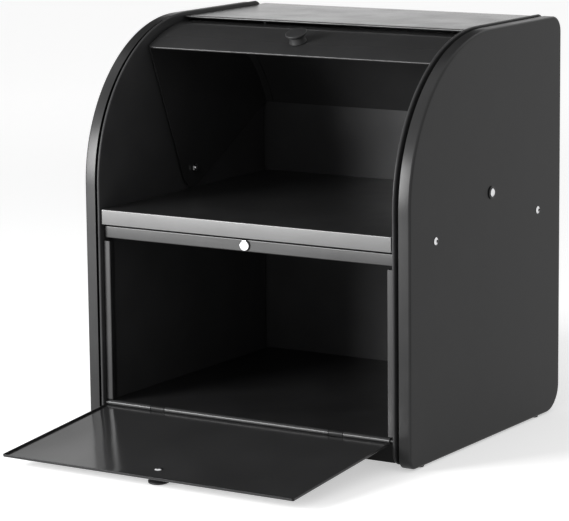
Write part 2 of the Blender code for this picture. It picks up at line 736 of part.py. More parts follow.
def add_knob(name, door, parent, outside):
    """Knob and its screw; outside stands on the door's outer face with Z pointing outwards."""
    lift = Matrix.Translation((0, 0, FIT))
    add(f"{name}_knob", lathe(KNOB_PROFILE, KNOB_STEPS), "black_plastic", parent, outside @ lift)
    start = Matrix.Translation((0, 0, -SHEET - OVERRUN))
    drill(door, f"drill_{name}_knob", outside @ start, BORE, SHEET + 2 * OVERRUN)
    under_head = -SHEET - FIT
    length = KNOB_BORE_DEPTH - under_head
    inside = outside @ Matrix.Translation((0, 0, under_head)) @ Matrix.Rotation(pi, 4, "X")
    screw = screw_shape(SHELF_HEAD, SHELF_HEAD_RISE, length)
    add(f"{name}_knob_screw", screw, "bright_steel", parent, inside)


# Upper door
def build_upper_door(bin_frame):
    """Part of a drum with a hemmed front edge, carried by two fan-shaped arms."""
    pivot = empty("upper_door_pivot", bin_frame)
    pivot.location = (0, PIVOT_Y, PIVOT_Z)
    nose_centre = DRUM_RADIUS - HEM_NOSE
    nose_deg = DRUM_FRONT_DEG + asin(HEM_NOSE / nose_centre) * 180 / pi
    hem_end = nose_deg + HEM_REACH_DEG
    along = [on_drum(DRUM_RADIUS - HEM_THICK, hem_end - HEM_REACH_DEG * i / 2) for i in range(2)]
    centre = on_drum(nose_centre, nose_deg)
    out_deg = 180 - nose_deg
    along += arc(centre, HEM_NOSE, out_deg + 180, out_deg, NOSE_STEPS)
    hem_cells = len(along) - 1
    span = DRUM_BACK_DEG - nose_deg
    along += [on_drum(DRUM_RADIUS, nose_deg + span * (i + 1) / DRUM_STEPS) for i in range(DRUM_STEPS)]
    hem_half = DOOR_HALF - HEM_SIDE
    across = [(-DOOR_HALF, 0), (-hem_half, 0), (hem_half, 0), (DOOR_HALF, 0)]

    def keep(row, x):
        return abs(x) < hem_half or row >= hem_cells

    door = thicken(add("upper_door", folded(across, along, keep), "black_gloss", pivot))
    y, z = on_drum(DRUM_RADIUS, UPPER_KNOB_DEG)
    outwards = Matrix.Rotation(radians(90 - UPPER_KNOB_DEG), 4, "X")
    add_knob("upper_door", door, pivot, Matrix.Translation((0, y, z)) @ outwards)
    for side, name in ((-1, "left"), (1, "right")):
        build_arm(pivot, name, side, hem_end)


def build_arm(pivot, name, side, turn_deg):
    """Fan from the pivot's boss to the drum; its front edge lies along the shelf when shut."""
    rim = DRUM_RADIUS - SHEET - FIT
    flat = rim - BEND
    first, last = DRUM_FRONT_DEG + ARM_EDGE_DEG, DRUM_BACK_DEG - ARM_EDGE_DEG
    turn_from = turn_deg + ARM_EDGE_DEG
    angles = [first] + [turn_from + (last - turn_from) * i / ARM_STEPS for i in range(ARM_STEPS + 1)]
    tangent = asin(BOSS_RADIUS / flat) * 180 / pi
    boss_from, boss_to = last + 90 - tangent, first + 270 + tangent
    boss_step = (boss_to - boss_from) / HIDDEN_STEPS
    boss = [on_drum(BOSS_RADIUS, boss_from + boss_step * i) for i in range(HIDDEN_STEPS + 1)]
    outline = [(side * DOOR_HALF, *on_drum(flat, a)) for a in angles]
    outline += [(side * DOOR_HALF, y, z) for y, z in boss]
    shape = filled(outline if side < 0 else reversed(outline))
    behind = turn_from - ARM_EDGE_DEG / 2
    line = [edge for edge in shape.edges if all(on_rim(vert, behind) for vert in edge.verts)]
    x_now, radius_now = DOOR_HALF, flat
    bend = arc((DOOR_HALF - BEND, flat), BEND, 0, 90, BEND_STEPS)[1:]
    for x, radius in bend + [(DOOR_HALF - ARM_TURN, rim)]:
        line, verts, _ = drawn_out(shape, line)
        grow = radius / radius_now
        bmesh.ops.scale(shape, vec=(1, grow, grow), verts=verts)
        bmesh.ops.translate(shape, vec=(side * (x - x_now), 0, 0), verts=verts)
        x_now, radius_now = x, radius
    arm = thicken(add(f"upper_door_{name}_arm", shape, "black_gloss", pivot))
    place = along_x(side * (DOOR_HALF - SHEET - OVERRUN), 0, 0, side)
    return drill(arm, f"drill_{name}_arm", place, BORE, SHEET + 2 * OVERRUN)


def on_rim(vert, from_deg):
    """Whether this point of an arm is on its rim, past this angle up from the front."""
    far_out = hypot(vert.co.y, vert.co.z) > 2 * BOSS_RADIUS
    return far_out and atan2(vert.co.z, -vert.co.y) > radians(from_deg)


def empty(name, parent=None):
    """An empty that carries other pieces."""
    made = bpy.data.objects.new(name, None)
    bpy.context.scene.collection.objects.link(made)
    made.parent = parent
    return made


def main():
    """Clears the scene and builds every piece."""
    for old in list(bpy.data.objects):
        bpy.data.objects.remove(old)
    bin_frame = empty("bread_bin")
    bin_frame.location = (0, SHIFT_Y, LIFT)
    for side, name in ((-1, "left"), (1, "right")):
        build_side(bin_frame, name, side)
        build_jamb(bin_frame, name, side)
    build_top(bin_frame)
    build_back(bin_frame)
    build_shelf(bin_frame)
    build_rail(bin_frame)
    build_floor(bin_frame)
    build_lower_door(bin_frame)
    build_upper_door(bin_frame)


main()
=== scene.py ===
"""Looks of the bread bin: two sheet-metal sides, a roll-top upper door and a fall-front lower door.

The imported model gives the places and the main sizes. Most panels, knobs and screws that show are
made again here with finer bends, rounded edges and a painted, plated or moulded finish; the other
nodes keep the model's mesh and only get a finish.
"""

import json
import logging
from collections.abc import Callable, Sequence
from dataclasses import dataclass, field, replace
from enum import Enum
from functools import partial
from math import acos, asin, atan2, copysign, cos, degrees, hypot, pi, radians, sin

import bmesh
import bpy
from mathutils import Matrix, Vector


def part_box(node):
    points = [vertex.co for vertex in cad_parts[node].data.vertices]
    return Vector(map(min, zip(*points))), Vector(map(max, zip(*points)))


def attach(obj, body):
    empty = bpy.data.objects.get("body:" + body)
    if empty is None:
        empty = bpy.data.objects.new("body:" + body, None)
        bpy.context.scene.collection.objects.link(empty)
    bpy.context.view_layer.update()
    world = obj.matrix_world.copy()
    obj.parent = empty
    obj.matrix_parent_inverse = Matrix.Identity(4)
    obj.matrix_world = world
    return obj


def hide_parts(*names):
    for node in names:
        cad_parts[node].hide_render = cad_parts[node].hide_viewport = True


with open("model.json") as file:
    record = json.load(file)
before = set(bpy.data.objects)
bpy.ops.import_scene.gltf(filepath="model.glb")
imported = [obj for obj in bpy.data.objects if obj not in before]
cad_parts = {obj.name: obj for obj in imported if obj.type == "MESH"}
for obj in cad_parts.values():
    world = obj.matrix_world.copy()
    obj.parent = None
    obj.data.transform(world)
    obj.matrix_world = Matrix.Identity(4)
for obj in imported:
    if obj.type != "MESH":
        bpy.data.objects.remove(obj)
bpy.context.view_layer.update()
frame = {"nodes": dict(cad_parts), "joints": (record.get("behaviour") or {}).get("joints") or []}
LOG = logging.getLogger("bread_bin")

Point = tuple[float, float]
Shape = bmesh.types.BMesh
Outline = Callable[[float], list[Point]]
FaceTest = Callable[[bpy.types.MeshPolygon], bool]
Triple = tuple[float, float, float]
AS_DRAWN = Matrix.Identity(4)

# Noise: where most of its values lie, its octaves, where wear starts and is full, and its stretch
NOISE_LOW, NOISE_HIGH = 0.3, 0.7
CLOUD_DETAIL, FINE_DETAIL = 3.0, 2.0
WEAR_STARTS, WEAR_FULL = 0.35, 0.78
SPECKS_PER_CLOUD = 14
EVEN, BRUSHED_ALONG_Y = (1.0, 1.0, 1.0), (1.0, 0.08, 1.0)

# Facets round a turned piece, a drill, a knob and a hexagon, and along a small rounded edge
TURNED_STEPS, DRILL_STEPS, KNOB_STEPS, HEXAGON, EDGE_STEPS = 64, 48, 96, 6, 4
# Points closer than this, in metres, are one
WELD = 1e-6


class Side(Enum):
    """The two sides of the bin, as the sign of X."""

    LEFT = -1
    RIGHT = 1

    @property
    def label(self) -> str:
        """Word that starts the names of this side's nodes."""
        return self.name.lower()


class Body(Enum):
    """Bodies of the model that a piece moves with."""

    BIN = "bin"
    LOWER = "lower_door_body"
    UPPER = "upper_door_body"


class Weathering(Enum):
    """Where a finish is paler or rougher than elsewhere."""

    SMUDGES = "smudges"
    BRUSHED = "brushed"
    GRAINED = "grained"


# Finishes
class NodeBench:
    """Short way to add and link shader nodes of one material."""

    def __init__(self, name: str) -> None:
        """Makes an empty material with a Principled shader.

        Args:
            name: name of the material.
        """
        self.material = bpy.data.materials.new(name)
        self.material.use_nodes = True
        self.tree = self.material.node_tree
        self.shader = self.tree.nodes["Principled BSDF"]

    def add(self, kind: str, **values: float) -> bpy.types.Node:
        """Adds a node.

        Args:
            kind: Blender's name of the node type.
            values: input values by name, with underscores for spaces.

        Returns:
            The new node.
        """
        node = self.tree.nodes.new(kind)
        for name, value in values.items():
            node.inputs[name.replace("_", " ")].default_value = value
        return node

    def join(self, output: bpy.types.NodeSocket, target: bpy.types.NodeSocket) -> None:
        """Links an output to an input."""
        self.tree.links.new(output, target)

    def noise(
        self, place: bpy.types.NodeSocket, scale: float, detail: float
    ) -> bpy.types.NodeSocket:
        """Noise between 0 and 1 in real size.

        Args:
            place: socket that gives the coordinates.
            scale: features in a metre.
            detail: octaves of finer noise.

        Returns:
            The socket of the noise value.
        """
        node = self.add("ShaderNodeTexNoise", Scale=scale, Detail=detail)
        self.join(place, node.inputs["Vector"])
        return node.outputs[0]

    def spread(self, value: bpy.types.NodeSocket, low: float, high: float) -> bpy.types.NodeSocket:
        """Spreads the middle of a noise over a range.

        Args:
            value: socket to read.
            low: result where the noise is low.
            high: result where it is high.

        Returns:
            The socket of the result.
        """
        node = self.add(
            "ShaderNodeMapRange", From_Min=NOISE_LOW, From_Max=NOISE_HIGH, To_Min=low, To_Max=high
        )
        self.join(value, node.inputs["Value"])
        return node.outputs["Result"]


@dataclass(frozen=True)
class Finish:
    """A surface finish: its colour, how rough it is and how both vary over the piece."""

    name: str
    slot: str
    colour: Triple
    worn_colour: Triple
    roughness: tuple[float, float]
    ripple_scale: float
    ripple_depth: float
    cloud_scale: float
    metallic: float = 0.0
    specular: float = 0.5
    weathering: Weathering = Weathering.SMUDGES

    def material(self) -> bpy.types.Material:
        """The finish as a material, made once."""
        return bpy.data.materials.get(self.name) or self.mixed()

    def mixed(self) -> bpy.types.Material:
        """Makes the node tree of the finish.

        Returns:
            The new material.
        """
        bench = NodeBench(self.name)
        mapping = bench.add("ShaderNodeMapping")
        brushed = self.weathering is Weathering.BRUSHED
        mapping.inputs["Scale"].default_value = BRUSHED_ALONG_Y if brushed else EVEN
        bench.join(bench.add("ShaderNodeTexCoord").outputs["Object"], mapping.inputs["Vector"])
        place = mapping.outputs["Vector"]
        cloud = bench.noise(place, self.cloud_scale, CLOUD_DETAIL)
        speck = bench.noise(place, self.cloud_scale * SPECKS_PER_CLOUD, FINE_DETAIL)
        ramp = bench.add("ShaderNodeValToRGB")
        stops = ((WEAR_STARTS, self.colour), (WEAR_FULL, self.worn_colour))
        for element, (position, colour) in zip(ramp.color_ramp.elements, stops):
            element.position = position
            element.color = (*colour, 1)
        bench.join(cloud, ramp.inputs[0])
        bench.join(ramp.outputs["Color"], bench.shader.inputs["Base Color"])
        patch = speck if self.weathering is Weathering.GRAINED else cloud
        bench.join(bench.spread(patch, *self.roughness), bench.shader.inputs["Roughness"])
        bump = bench.add("ShaderNodeBump", Strength=1.0, Distance=self.ripple_depth)
        bench.join(bench.noise(place, self.ripple_scale, FINE_DETAIL), bump.inputs["Height"])
        bench.join(bump.outputs["Normal"], bench.shader.inputs["Normal"])
        bench.shader.inputs["Metallic"].default_value = self.metallic
        bench.shader.inputs["Specular IOR Level"].default_value = self.specular
        bench.material.diffuse_color = (*self.colour, 1)
        return bench.material


COAT = Finish(
    name="satin_coat",
    slot="black_coat",
    colour=(0.014, 0.014, 0.0143),
    worn_colour=(0.019, 0.019, 0.0194),
    roughness=(0.28, 0.33),
    specular=0.3,
    ripple_scale=900.0,
    ripple_depth=0.000012,
    cloud_scale=28.0,
)
# Copy of the coat for the inner sides and the back, with painted light: its lighter colour stands in
# for light in the shaded inside, and its sheen is weaker.
INNER_PAINTED_FILL_COAT = replace(
    COAT,
    name="inner_painted_fill_coat",
    colour=(0.040, 0.040, 0.041),
    worn_colour=(0.048, 0.048, 0.049),
    specular=0.14,
)
# The cap's flat face: the coat with a weaker sheen, painted shade that renders it darker than the
# rim.
FACE_SHADED_COAT = replace(COAT, name="face_shaded_coat", specular=0.155)
# The top: the coat with a stronger sheen, a painted sheen that brightens its grazing reflection.
TOP_PAINTED_SHEEN_COAT = replace(COAT, name="top_painted_sheen_coat", specular=0.72, roughness=(0.19, 0.235))
# The shelf: the coat with a much stronger sheen, a painted highlight on its lip.
SHELF_PAINTED_SHEEN_COAT = replace(COAT, name="shelf_painted_sheen_coat", specular=0.9)
# The rail, the jambs and the top's nose: the coat with a stronger sheen, a painted highlight on them.
RAIL_PAINTED_SHEEN_COAT = replace(COAT, name="rail_painted_sheen_coat", specular=0.5)
# The floor panel: the coat with a weaker sheen, painted shade that darkens its hinge tabs.
FLOOR_SHADED_COAT = replace(COAT, name="floor_shaded_coat", specular=0.13)
GLOSS = replace(
    COAT,
    name="gloss_coat",
    slot="black_gloss",
    colour=(0.027, 0.027, 0.0275),
    worn_colour=(0.033, 0.033, 0.0335),
    roughness=(0.12, 0.165),
    specular=0.2,
    ripple_scale=420.0,
    ripple_depth=0.000008,
    cloud_scale=20.0,
)
STEEL = Finish(
    name="bright_steel",
    slot="bright_steel",
    colour=(0.50, 0.50, 0.51),
    worn_colour=(0.66, 0.66, 0.67),
    roughness=(0.18, 0.30),
    metallic=1.0,
    ripple_scale=1500.0,
    ripple_depth=0.000006,
    cloud_scale=220.0,
    weathering=Weathering.BRUSHED,
)
# Painted shade: a dark finish inside the screws' sockets stands in for the shade deep in the recess.
SOCKET_PAINTED_SHADE = replace(
    STEEL,
    name="socket_painted_shade",
    colour=(0.022, 0.022, 0.023),
    worn_colour=(0.04, 0.04, 0.041),
    roughness=(0.45, 0.6),
)
NICKEL = Finish(
    name="magnet_nickel",
    slot="magnet_nickel",
    colour=(0.78, 0.78, 0.78),
    worn_colour=(0.88, 0.88, 0.88),
    roughness=(0.14, 0.26),
    metallic=1.0,
    ripple_scale=1200.0,
    ripple_depth=0.000004,
    cloud_scale=160.0,
)
PLASTIC = Finish(
    name="knob_plastic",
    slot="black_plastic",
    colour=(0.020, 0.020, 0.0205),
    worn_colour=(0.028, 0.028, 0.0285),
    roughness=(0.34, 0.46),
    specular=0.25,
    ripple_scale=2600.0,
    ripple_depth=0.00001,
    cloud_scale=120.0,
    weathering=Weathering.GRAINED,
)
RUBBER = replace(
    PLASTIC,
    name="pad_rubber",
    slot="black_rubber",
    colour=(0.010, 0.010, 0.010),
    worn_colour=(0.022, 0.022, 0.022),
    roughness=(0.70, 0.85),
    specular=0.3,
    ripple_scale=1800.0,
    ripple_depth=0.00003,
    cloud_scale=150.0,
)


# Shapes
def arc(centre: Point, radius: float, start_deg: float, end_deg: float, steps: int) -> list[Point]:
    """Points of an arc in a plane, with both ends.

    Args:
        centre: centre of the arc.
        radius: its radius.
        start_deg: angle of the first point.
        end_deg: angle of the last point.
        steps: straight pieces along it.

    Returns:
        The points in order.
    """
    turns = (radians(start_deg + (end_deg - start_deg) * i / steps) for i in range(steps + 1))
    return [(centre[0] + radius * cos(t), centre[1] + radius * sin(t)) for t in turns]


def chain(shape: Shape, points: Sequence[tuple], closed: bool = False) -> list[bmesh.types.BMEdge]:
    """Adds edges from point to point.

    Args:
        shape: bmesh to add to.
        points: places of the vertices.
        closed: whether the last point joins the first.

    Returns:
        The edges in order.
    """
    verts = [shape.verts.new(point) for point in points]
    ends = verts[1:] + verts[:1] if closed else verts[1:]
    return [shape.edges.new(pair) for pair in zip(verts, ends)]


def filled(points: Sequence[tuple]) -> Shape:
    """One flat face; seen from its front its points run anticlockwise.

    Args:
        points: corners of the face.

    Returns:
        A new bmesh.
    """
    shape = bmesh.new()
    shape.faces.new([shape.verts.new(point) for point in points])
    return shape


def drawn_out(shape: Shape, line: Sequence[bmesh.types.BMEdge]) -> tuple[list, list, list]:
    """Extrudes a line of edges.

    Args:
        shape: bmesh that holds the line.
        line: edges to extrude.

    Returns:
        The new edges, vertices and faces.
    """
    made = bmesh.ops.extrude_edge_only(shape, edges=list(line))["geom"]
    kinds = (bmesh.types.BMEdge, bmesh.types.BMVert, bmesh.types.BMFace)
    edges, verts, faces = ([item for item in made if isinstance(item, kind)] for kind in kinds)
    return edges, verts, faces


def turned(profile: Sequence[Point], steps: int = TURNED_STEPS) -> Shape:
    """Outline of (radius, height) turned round Z.

    Args:
        profile: points of the outline, closed, or from the axis to the axis.
        steps: facets round the axis.

    Returns:
        A new closed bmesh.
    """
    shape = bmesh.new()
    line = chain(shape, [(radius, 0, height) for radius, height in profile], profile[0][0] > 0)
    bmesh.ops.spin(
        shape,
        geom=shape.verts[:] + line,
        axis=(0, 0, 1),
        cent=(0, 0, 0),
        angle=2 * pi,
        steps=steps,
        use_merge=True,
    )
    bmesh.ops.remove_doubles(shape, verts=shape.verts, dist=WELD)
    bmesh.ops.recalc_face_normals(shape, faces=shape.faces)
    return shape


def folded(
    across: Sequence[Point],
    along: Sequence[Point],
    keep: Callable[[int, float], bool] | None = None,
) -> Shape:
    """Sheet drawn out row by row.

    Args:
        across: (x, rise) of the stations across the sheet.
        along: (y, z) of its rows.
        keep: tells, from a cell's row number and middle x, whether the cell is there.

    Returns:
        A new open bmesh.
    """
    shape = bmesh.new()
    line = chain(shape, [(x, along[0][0], along[0][1] + rise) for x, rise in across])
    dropped = []
    for row, (start, end) in enumerate(zip(along, along[1:])):
        line, verts, faces = drawn_out(shape, line)
        bmesh.ops.translate(shape, verts=verts, vec=(0, end[0] - start[0], end[1] - start[1]))
        dropped += [face for face in faces if keep and not keep(row, face.calc_center_median().x)]
    bmesh.ops.delete(shape, geom=dropped, context="FACES")
    bmesh.ops.reverse_faces(shape, faces=shape.faces)
    return shape


def tray(stations: Sequence[Point], outline: Outline, side: Side) -> Shape:
    """Tray drawn out ring by ring, the first ring filled.

    Args:
        stations: (x, inset) of the rings.
        outline: gives a ring's points (y, z) from its inset.
        side: the side of the bin it is on.

    Returns:
        A new open bmesh that faces outwards.
    """
    first_x = side.value * stations[0][0]
    shape = filled([(first_x, y, z) for y, z in outline(stations[0][1])])
    line = shape.edges[:]
    for x, inset in stations[1:]:
        line, verts, _ = drawn_out(shape, line)
        for vert, (y, z) in zip(verts, outline(inset)):
            vert.co = (side.value * x, y, z)
    bmesh.ops.recalc_face_normals(shape, faces=shape.faces)
    shape.faces.ensure_lookup_table()
    outwards = side.value * (stations[0][0] - stations[-1][0])
    if shape.faces[0].normal.x * outwards < 0:
        bmesh.ops.reverse_faces(shape, faces=shape.faces)
    return shape


def placed(name: str, shape: Shape, place: Matrix) -> bpy.types.Object:
    """Turns a bmesh into an object of the scene.

    Args:
        name: name of the object.
        shape: its bmesh, which is freed.
        place: where the shape goes; the object itself stays at the origin.

    Returns:
        The new object.
    """
    shape.transform(place)
    mesh = bpy.data.meshes.new(name)
    shape.to_mesh(mesh)
    shape.free()
    obj = bpy.data.objects.new(name, mesh)
    bpy.context.scene.collection.objects.link(obj)
    return obj


def middle_of(node: str) -> Vector:
    """Middle of a CAD node's box."""
    low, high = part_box(node)
    return (low + high) / 2


def along_x(x: float, y: float, z: float, towards: int) -> Matrix:
    """Place of a turned piece whose axis runs along +X or -X from this point."""
    return Matrix.Translation((x, y, z)) @ Matrix.Rotation(towards * pi / 2, 4, "Y")


def span_x(node: str, side: Side) -> Point:
    """How far a node's box starts and ends from the middle of the bin, on its side."""
    ends = (side.value * corner.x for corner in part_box(node))
    return tuple(sorted(ends))


def shelf_screws(side: Side) -> dict[str, Point]:
    """Where the shelf's screws on one side are.

    Args:
        side: the side of the bin.

    Returns:
        Places (y, z) by the middle words of the nodes' names.
    """
    words = ("front_shelf", "rear_shelf")
    return {which: tuple(middle_of(f"{side.label}_{which}_screw").yz) for which in words}


def forwards(point: Triple) -> Matrix:
    """Place of a turned piece or a drill whose axis runs along -Y from this point."""
    return Matrix.Translation(point) @ Matrix.Rotation(pi / 2, 4, "X")


@dataclass(frozen=True)
class Sheet:
    """Sheet metal that the panels are folded from."""

    thick: float = 0.0008
    bend: float = 0.0012
    bend_steps: int = 8
    cut_edge: float = 0.00018
    fit: float = 0.0003

    def bent(self, corner: Point, start_deg: float, end_deg: float) -> list[Point]:
        """Bend of a quarter turn in a section.

        Args:
            corner: where the two flats would meet.
            start_deg: angle about the bend's centre at its start.
            end_deg: angle at its end.

        Returns:
            The points in order.
        """
        middle = radians((start_deg + end_deg) / 2)
        towards = (copysign(self.bend, cos(middle)), copysign(self.bend, sin(middle)))
        centre = (corner[0] - towards[0], corner[1] - towards[1])
        return arc(centre, self.bend, start_deg, end_deg, self.bend_steps)

    def turned_edges(self, half: float, depth: float, towards: int) -> list[Point]:
        """Stations across a sheet whose two sides are turned.

        Args:
            half: half the width over the turned sides.
            depth: how deep they are.
            towards: 1 for up and -1 for down.

        Returns:
            Pairs of x and rise.
        """
        bend = arc((half - self.bend, 0), self.bend, 90, 0, self.bend_steps)
        right = [(x, towards * (self.bend - z)) for x, z in bend] + [(half, towards * depth)]
        return [(-x, rise) for x, rise in reversed(right)] + right


@dataclass
class Piece:
    """A piece of the scene: a shape that gets its thickness, holes, rounded edges and finish."""

    node: str
    body: Body
    finish: Finish
    shape: Shape
    place: Matrix = AS_DRAWN
    thick: float = 0.0
    bevel: float = 0.0
    bevel_steps: int = 2
    smooth_deg: float = 40.0
    overrun: float = 0.002
    # Second finish on the faces that its test picks; each use paints shade there.
    painted_shade_faces: tuple[Finish, FaceTest] | None = None
    cuts: list[tuple[Shape, Matrix]] = field(default_factory=list)

    def bored(self, radius: float, place: Matrix) -> None:
        """Adds a round hole through the sheet.

        Args:
            radius: radius of the hole.
            place: its place on a face of the sheet, from where it runs along its own Z.
        """
        start, end = -self.overrun, self.thick + self.overrun
        drill = turned([(0, start), (radius, start), (radius, end), (0, end)], DRILL_STEPS)
        self.cuts.append((drill, place))

    def made(self) -> bpy.types.Object:
        """Makes the object, in the place of its CAD node.

        Returns:
            The finished object.
        """
        obj = self.smooth(f"seen_{self.node}", self.shape, self.place)
        self.shaped(obj)
        obj.data.materials.clear()
        obj.data.materials.append(self.finish.material())
        if self.painted_shade_faces:
            finish, test = self.painted_shade_faces
            obj.data.materials.append(finish.material())
            for face in obj.data.polygons:
                face.material_index = int(test(face))
        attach(obj, self.body.value)
        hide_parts(self.node)
        return obj

    def smooth(self, name: str, shape: Shape, place: Matrix) -> bpy.types.Object:
        """Turns a bmesh into an object that is smooth between its sharp edges.

        Args:
            name: name of the object.
            shape: its bmesh, which is freed.
            place: where the shape goes.

        Returns:
            The new object.
        """
        obj = placed(name, shape, place)
        obj.data.shade_smooth()
        obj.data.set_sharp_from_angle(angle=radians(self.smooth_deg))
        return obj

    def shaped(self, obj: bpy.types.Object) -> None:
        """Gives the object its thickness, holes and rounded edges, settled in its mesh.

        Args:
            obj: object with the bare shape.
        """
        if self.thick:
            wall = obj.modifiers.new("thickness", "SOLIDIFY")
            wall.thickness = self.thick
            wall.offset = -1
            wall.use_even_offset = True
            wall.use_quality_normals = True
        tools = []
        for number, (shape, place) in enumerate(self.cuts):
            tools.append(self.smooth(f"cutter_{self.node}_{number}", shape, place))
            cut = obj.modifiers.new(tools[-1].name, "BOOLEAN")
            cut.operation = "DIFFERENCE"
            cut.solver = "EXACT"
            cut.object = tools[-1]
        if self.bevel:
            bevel = obj.modifiers.new("edges", "BEVEL")
            bevel.width = self.bevel
            bevel.segments = self.bevel_steps
            bevel.limit_method = "ANGLE"
            bevel.angle_limit = radians(self.smooth_deg)
            bevel.harden_normals = True
        graph = bpy.context.evaluated_depsgraph_get()
        mesh = bpy.data.meshes.new_from_object(obj.evaluated_get(graph))
        obj.modifiers.clear()
        obj.data = mesh
        for tool in tools:
            bpy.data.objects.remove(tool)


# Places read from the model
@dataclass(frozen=True)
class Datum:
    """Places that every sub-assembly uses, in metres."""

    front: float
    back: float
    bottom: float
    top: float
    half: float
    rim: float
    wall: float
    rear_inside: float
    pivot: Vector
    hinge: Vector
    droop: float
    sheet: Sheet = Sheet()

    @classmethod
    def read(cls) -> "Datum":
        """Reads the places from the boxes of the nodes and from the joints.

        Returns:
            The places.
        """
        low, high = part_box("right_side_cap")
        wall_low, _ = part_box("right_inner_side")
        joints = {joint["name"]: joint for joint in frame["joints"]}
        hinge = joints["lower_door_hinge"]
        pivot = joints["upper_door_pivot"]
        return cls(
            front=low.y,
            back=high.y,
            bottom=low.z,
            top=high.z,
            half=high.x,
            rim=low.x,
            wall=wall_low.x,
            rear_inside=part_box("shelf")[1].y,
            pivot=Vector(pivot["pos_m"]),
            hinge=Vector(hinge["pos_m"]),
            droop=radians(hinge["range_deg"][1]) - pi / 2,
        )

    @property
    def inside(self) -> float:
        """Half the width over the panels that fit between the inner sides."""
        return self.wall - self.sheet.fit


@dataclass
class Assembly:
    """A sub-assembly: it builds its pieces one by one and keeps them in a list."""

    datum: Datum
    body: Body = Body.BIN
    pieces: list[bpy.types.Object] = field(default_factory=list)

    def keep(self, piece: Piece) -> None:
        """Makes a piece, keeps it and logs its number of faces."""
        self.pieces.append(piece.made())
        LOG.info("%s: %d faces", self.pieces[-1].name, len(self.pieces[-1].data.polygons))

    def sheeted(self, node: str, finish: Finish, shape: Shape, place: Matrix = AS_DRAWN) -> Piece:
        """A piece folded from painted sheet.

        Args:
            node: the CAD node it stands for.
            finish: its finish.
            shape: its outer surface.
            place: its place, for a shape that isn't drawn in the bin's own.

        Returns:
            The piece, not made yet.
        """
        sheet = self.datum.sheet
        return Piece(node, self.body, finish, shape, place, sheet.thick, sheet.cut_edge)


# Screws and knobs
@dataclass(frozen=True)
class Screw:
    """Round-headed screw, its head above height 0, with or without a hexagon socket."""

    length: float
    head: float = 0.00325
    rise: float = 0.0012
    shank: float = 0.0019
    chamfer: float = 0.0003
    dome_steps: int = 12
    socket: float = 0.0015
    socket_depth: float = 0.0016
    socket_shade_shares: tuple[float, float] = (1.1, 0.2)
    smooth_deg: float = 35.0
    hole: float = 0.0022

    def solid(self) -> Shape:
        """Head and shank.

        Returns:
            A new closed bmesh.
        """
        bulge = (self.head**2 + self.rise**2) / (2 * self.rise)
        edge_deg = degrees(asin(self.head / bulge))
        dome = arc((0, self.rise - bulge), bulge, 90 - edge_deg, 90, self.dome_steps)[:-1]
        below = [
            (0, -self.length),
            (self.shank - self.chamfer, -self.length),
            (self.shank, self.chamfer - self.length),
            (self.shank, 0),
        ]
        return turned(below + dome + [(0, self.rise)])

    def recess(self) -> Shape:
        """The hexagon socket that is cut into the head.

        Returns:
            A new closed bmesh.
        """
        bottom = self.rise - self.socket_depth
        top = 2 * self.rise
        corners = [(0, bottom), (self.socket, bottom), (self.socket, top), (0, top)]
        return turned(corners, HEXAGON)

    def recess_shade_test(self, place: Matrix) -> FaceTest:
        """Test that picks the faces inside the socket, which get a dark finish as painted shade.

        Args:
            place: place of the screw.

        Returns:
            The test.
        """
        back = place.inverted()
        bottom, top = (self.rise - share * self.socket_depth for share in self.socket_shade_shares)

        def test(face: bpy.types.MeshPolygon) -> bool:
            """Whether the middle of the face lies in the socket."""
            middle = back @ face.center
            return hypot(middle.x, middle.y) < self.socket and bottom < middle.z < top

        return test

    def piece(self, node: str, body: Body, place: Matrix, tilt_deg: float | None) -> Piece:
        """The screw as a piece.

        Args:
            node: the CAD node it stands for.
            body: the body that it moves with.
            place: its place, its head along Z.
            tilt_deg: how far its socket is turned; a plain head has none.

        Returns:
            The piece, not made yet.
        """
        piece = Piece(node, body, STEEL, self.solid(), place, smooth_deg=self.smooth_deg)
        if tilt_deg is not None:
            tilt = Matrix.Rotation(radians(tilt_deg), 4, "Z")
            piece.cuts.append((self.recess(), place @ tilt))
            # Painted shade: the faces inside the socket get the dark finish.
            piece.painted_shade_faces = (SOCKET_PAINTED_SHADE, self.recess_shade_test(place))
        return piece


@dataclass(frozen=True)
class Knob:
    """Round plastic knob: a flared base, a waist and a broad head."""

    height: float = 0.0095
    head: float = 0.0093
    neck: float = 0.0068
    base: float = 0.0076
    rim: float = 0.0024
    flare: float = 0.0018
    dome: float = 0.0004
    edge: float = 0.0007
    bore: float = 0.0022
    bore_depth: float = 0.0065
    foot_end_deg: float = 20.0
    foot_steps: int = 6
    under_start_deg: float = -60.0
    crown_end_deg: float = 85.0
    crown_steps: int = 8

    def solid(self) -> Shape:
        """The knob, from its foot at height 0.

        Returns:
            A new closed bmesh.
        """
        under_head = self.height - self.rim
        waist_top = under_head - self.flare
        edge = self.edge
        profile = [(0, self.bore_depth), (self.bore, self.bore_depth), (self.bore, 0)]
        foot = (self.base - edge / 2, edge / 2)
        profile += arc(foot, edge / 2, -90, self.foot_end_deg, self.foot_steps)
        profile += [(self.neck, waist_top / 2), (self.neck, waist_top)]
        under = (self.head - edge, under_head + edge)
        profile += arc(under, edge, self.under_start_deg, 0, self.foot_steps)
        crown = (self.head - edge, self.height - self.dome - edge)
        profile += arc(crown, edge, 0, self.crown_end_deg, self.crown_steps)
        profile += [(self.head / 2, self.height - self.dome / 4), (0, self.height)]
        return turned(profile, KNOB_STEPS)


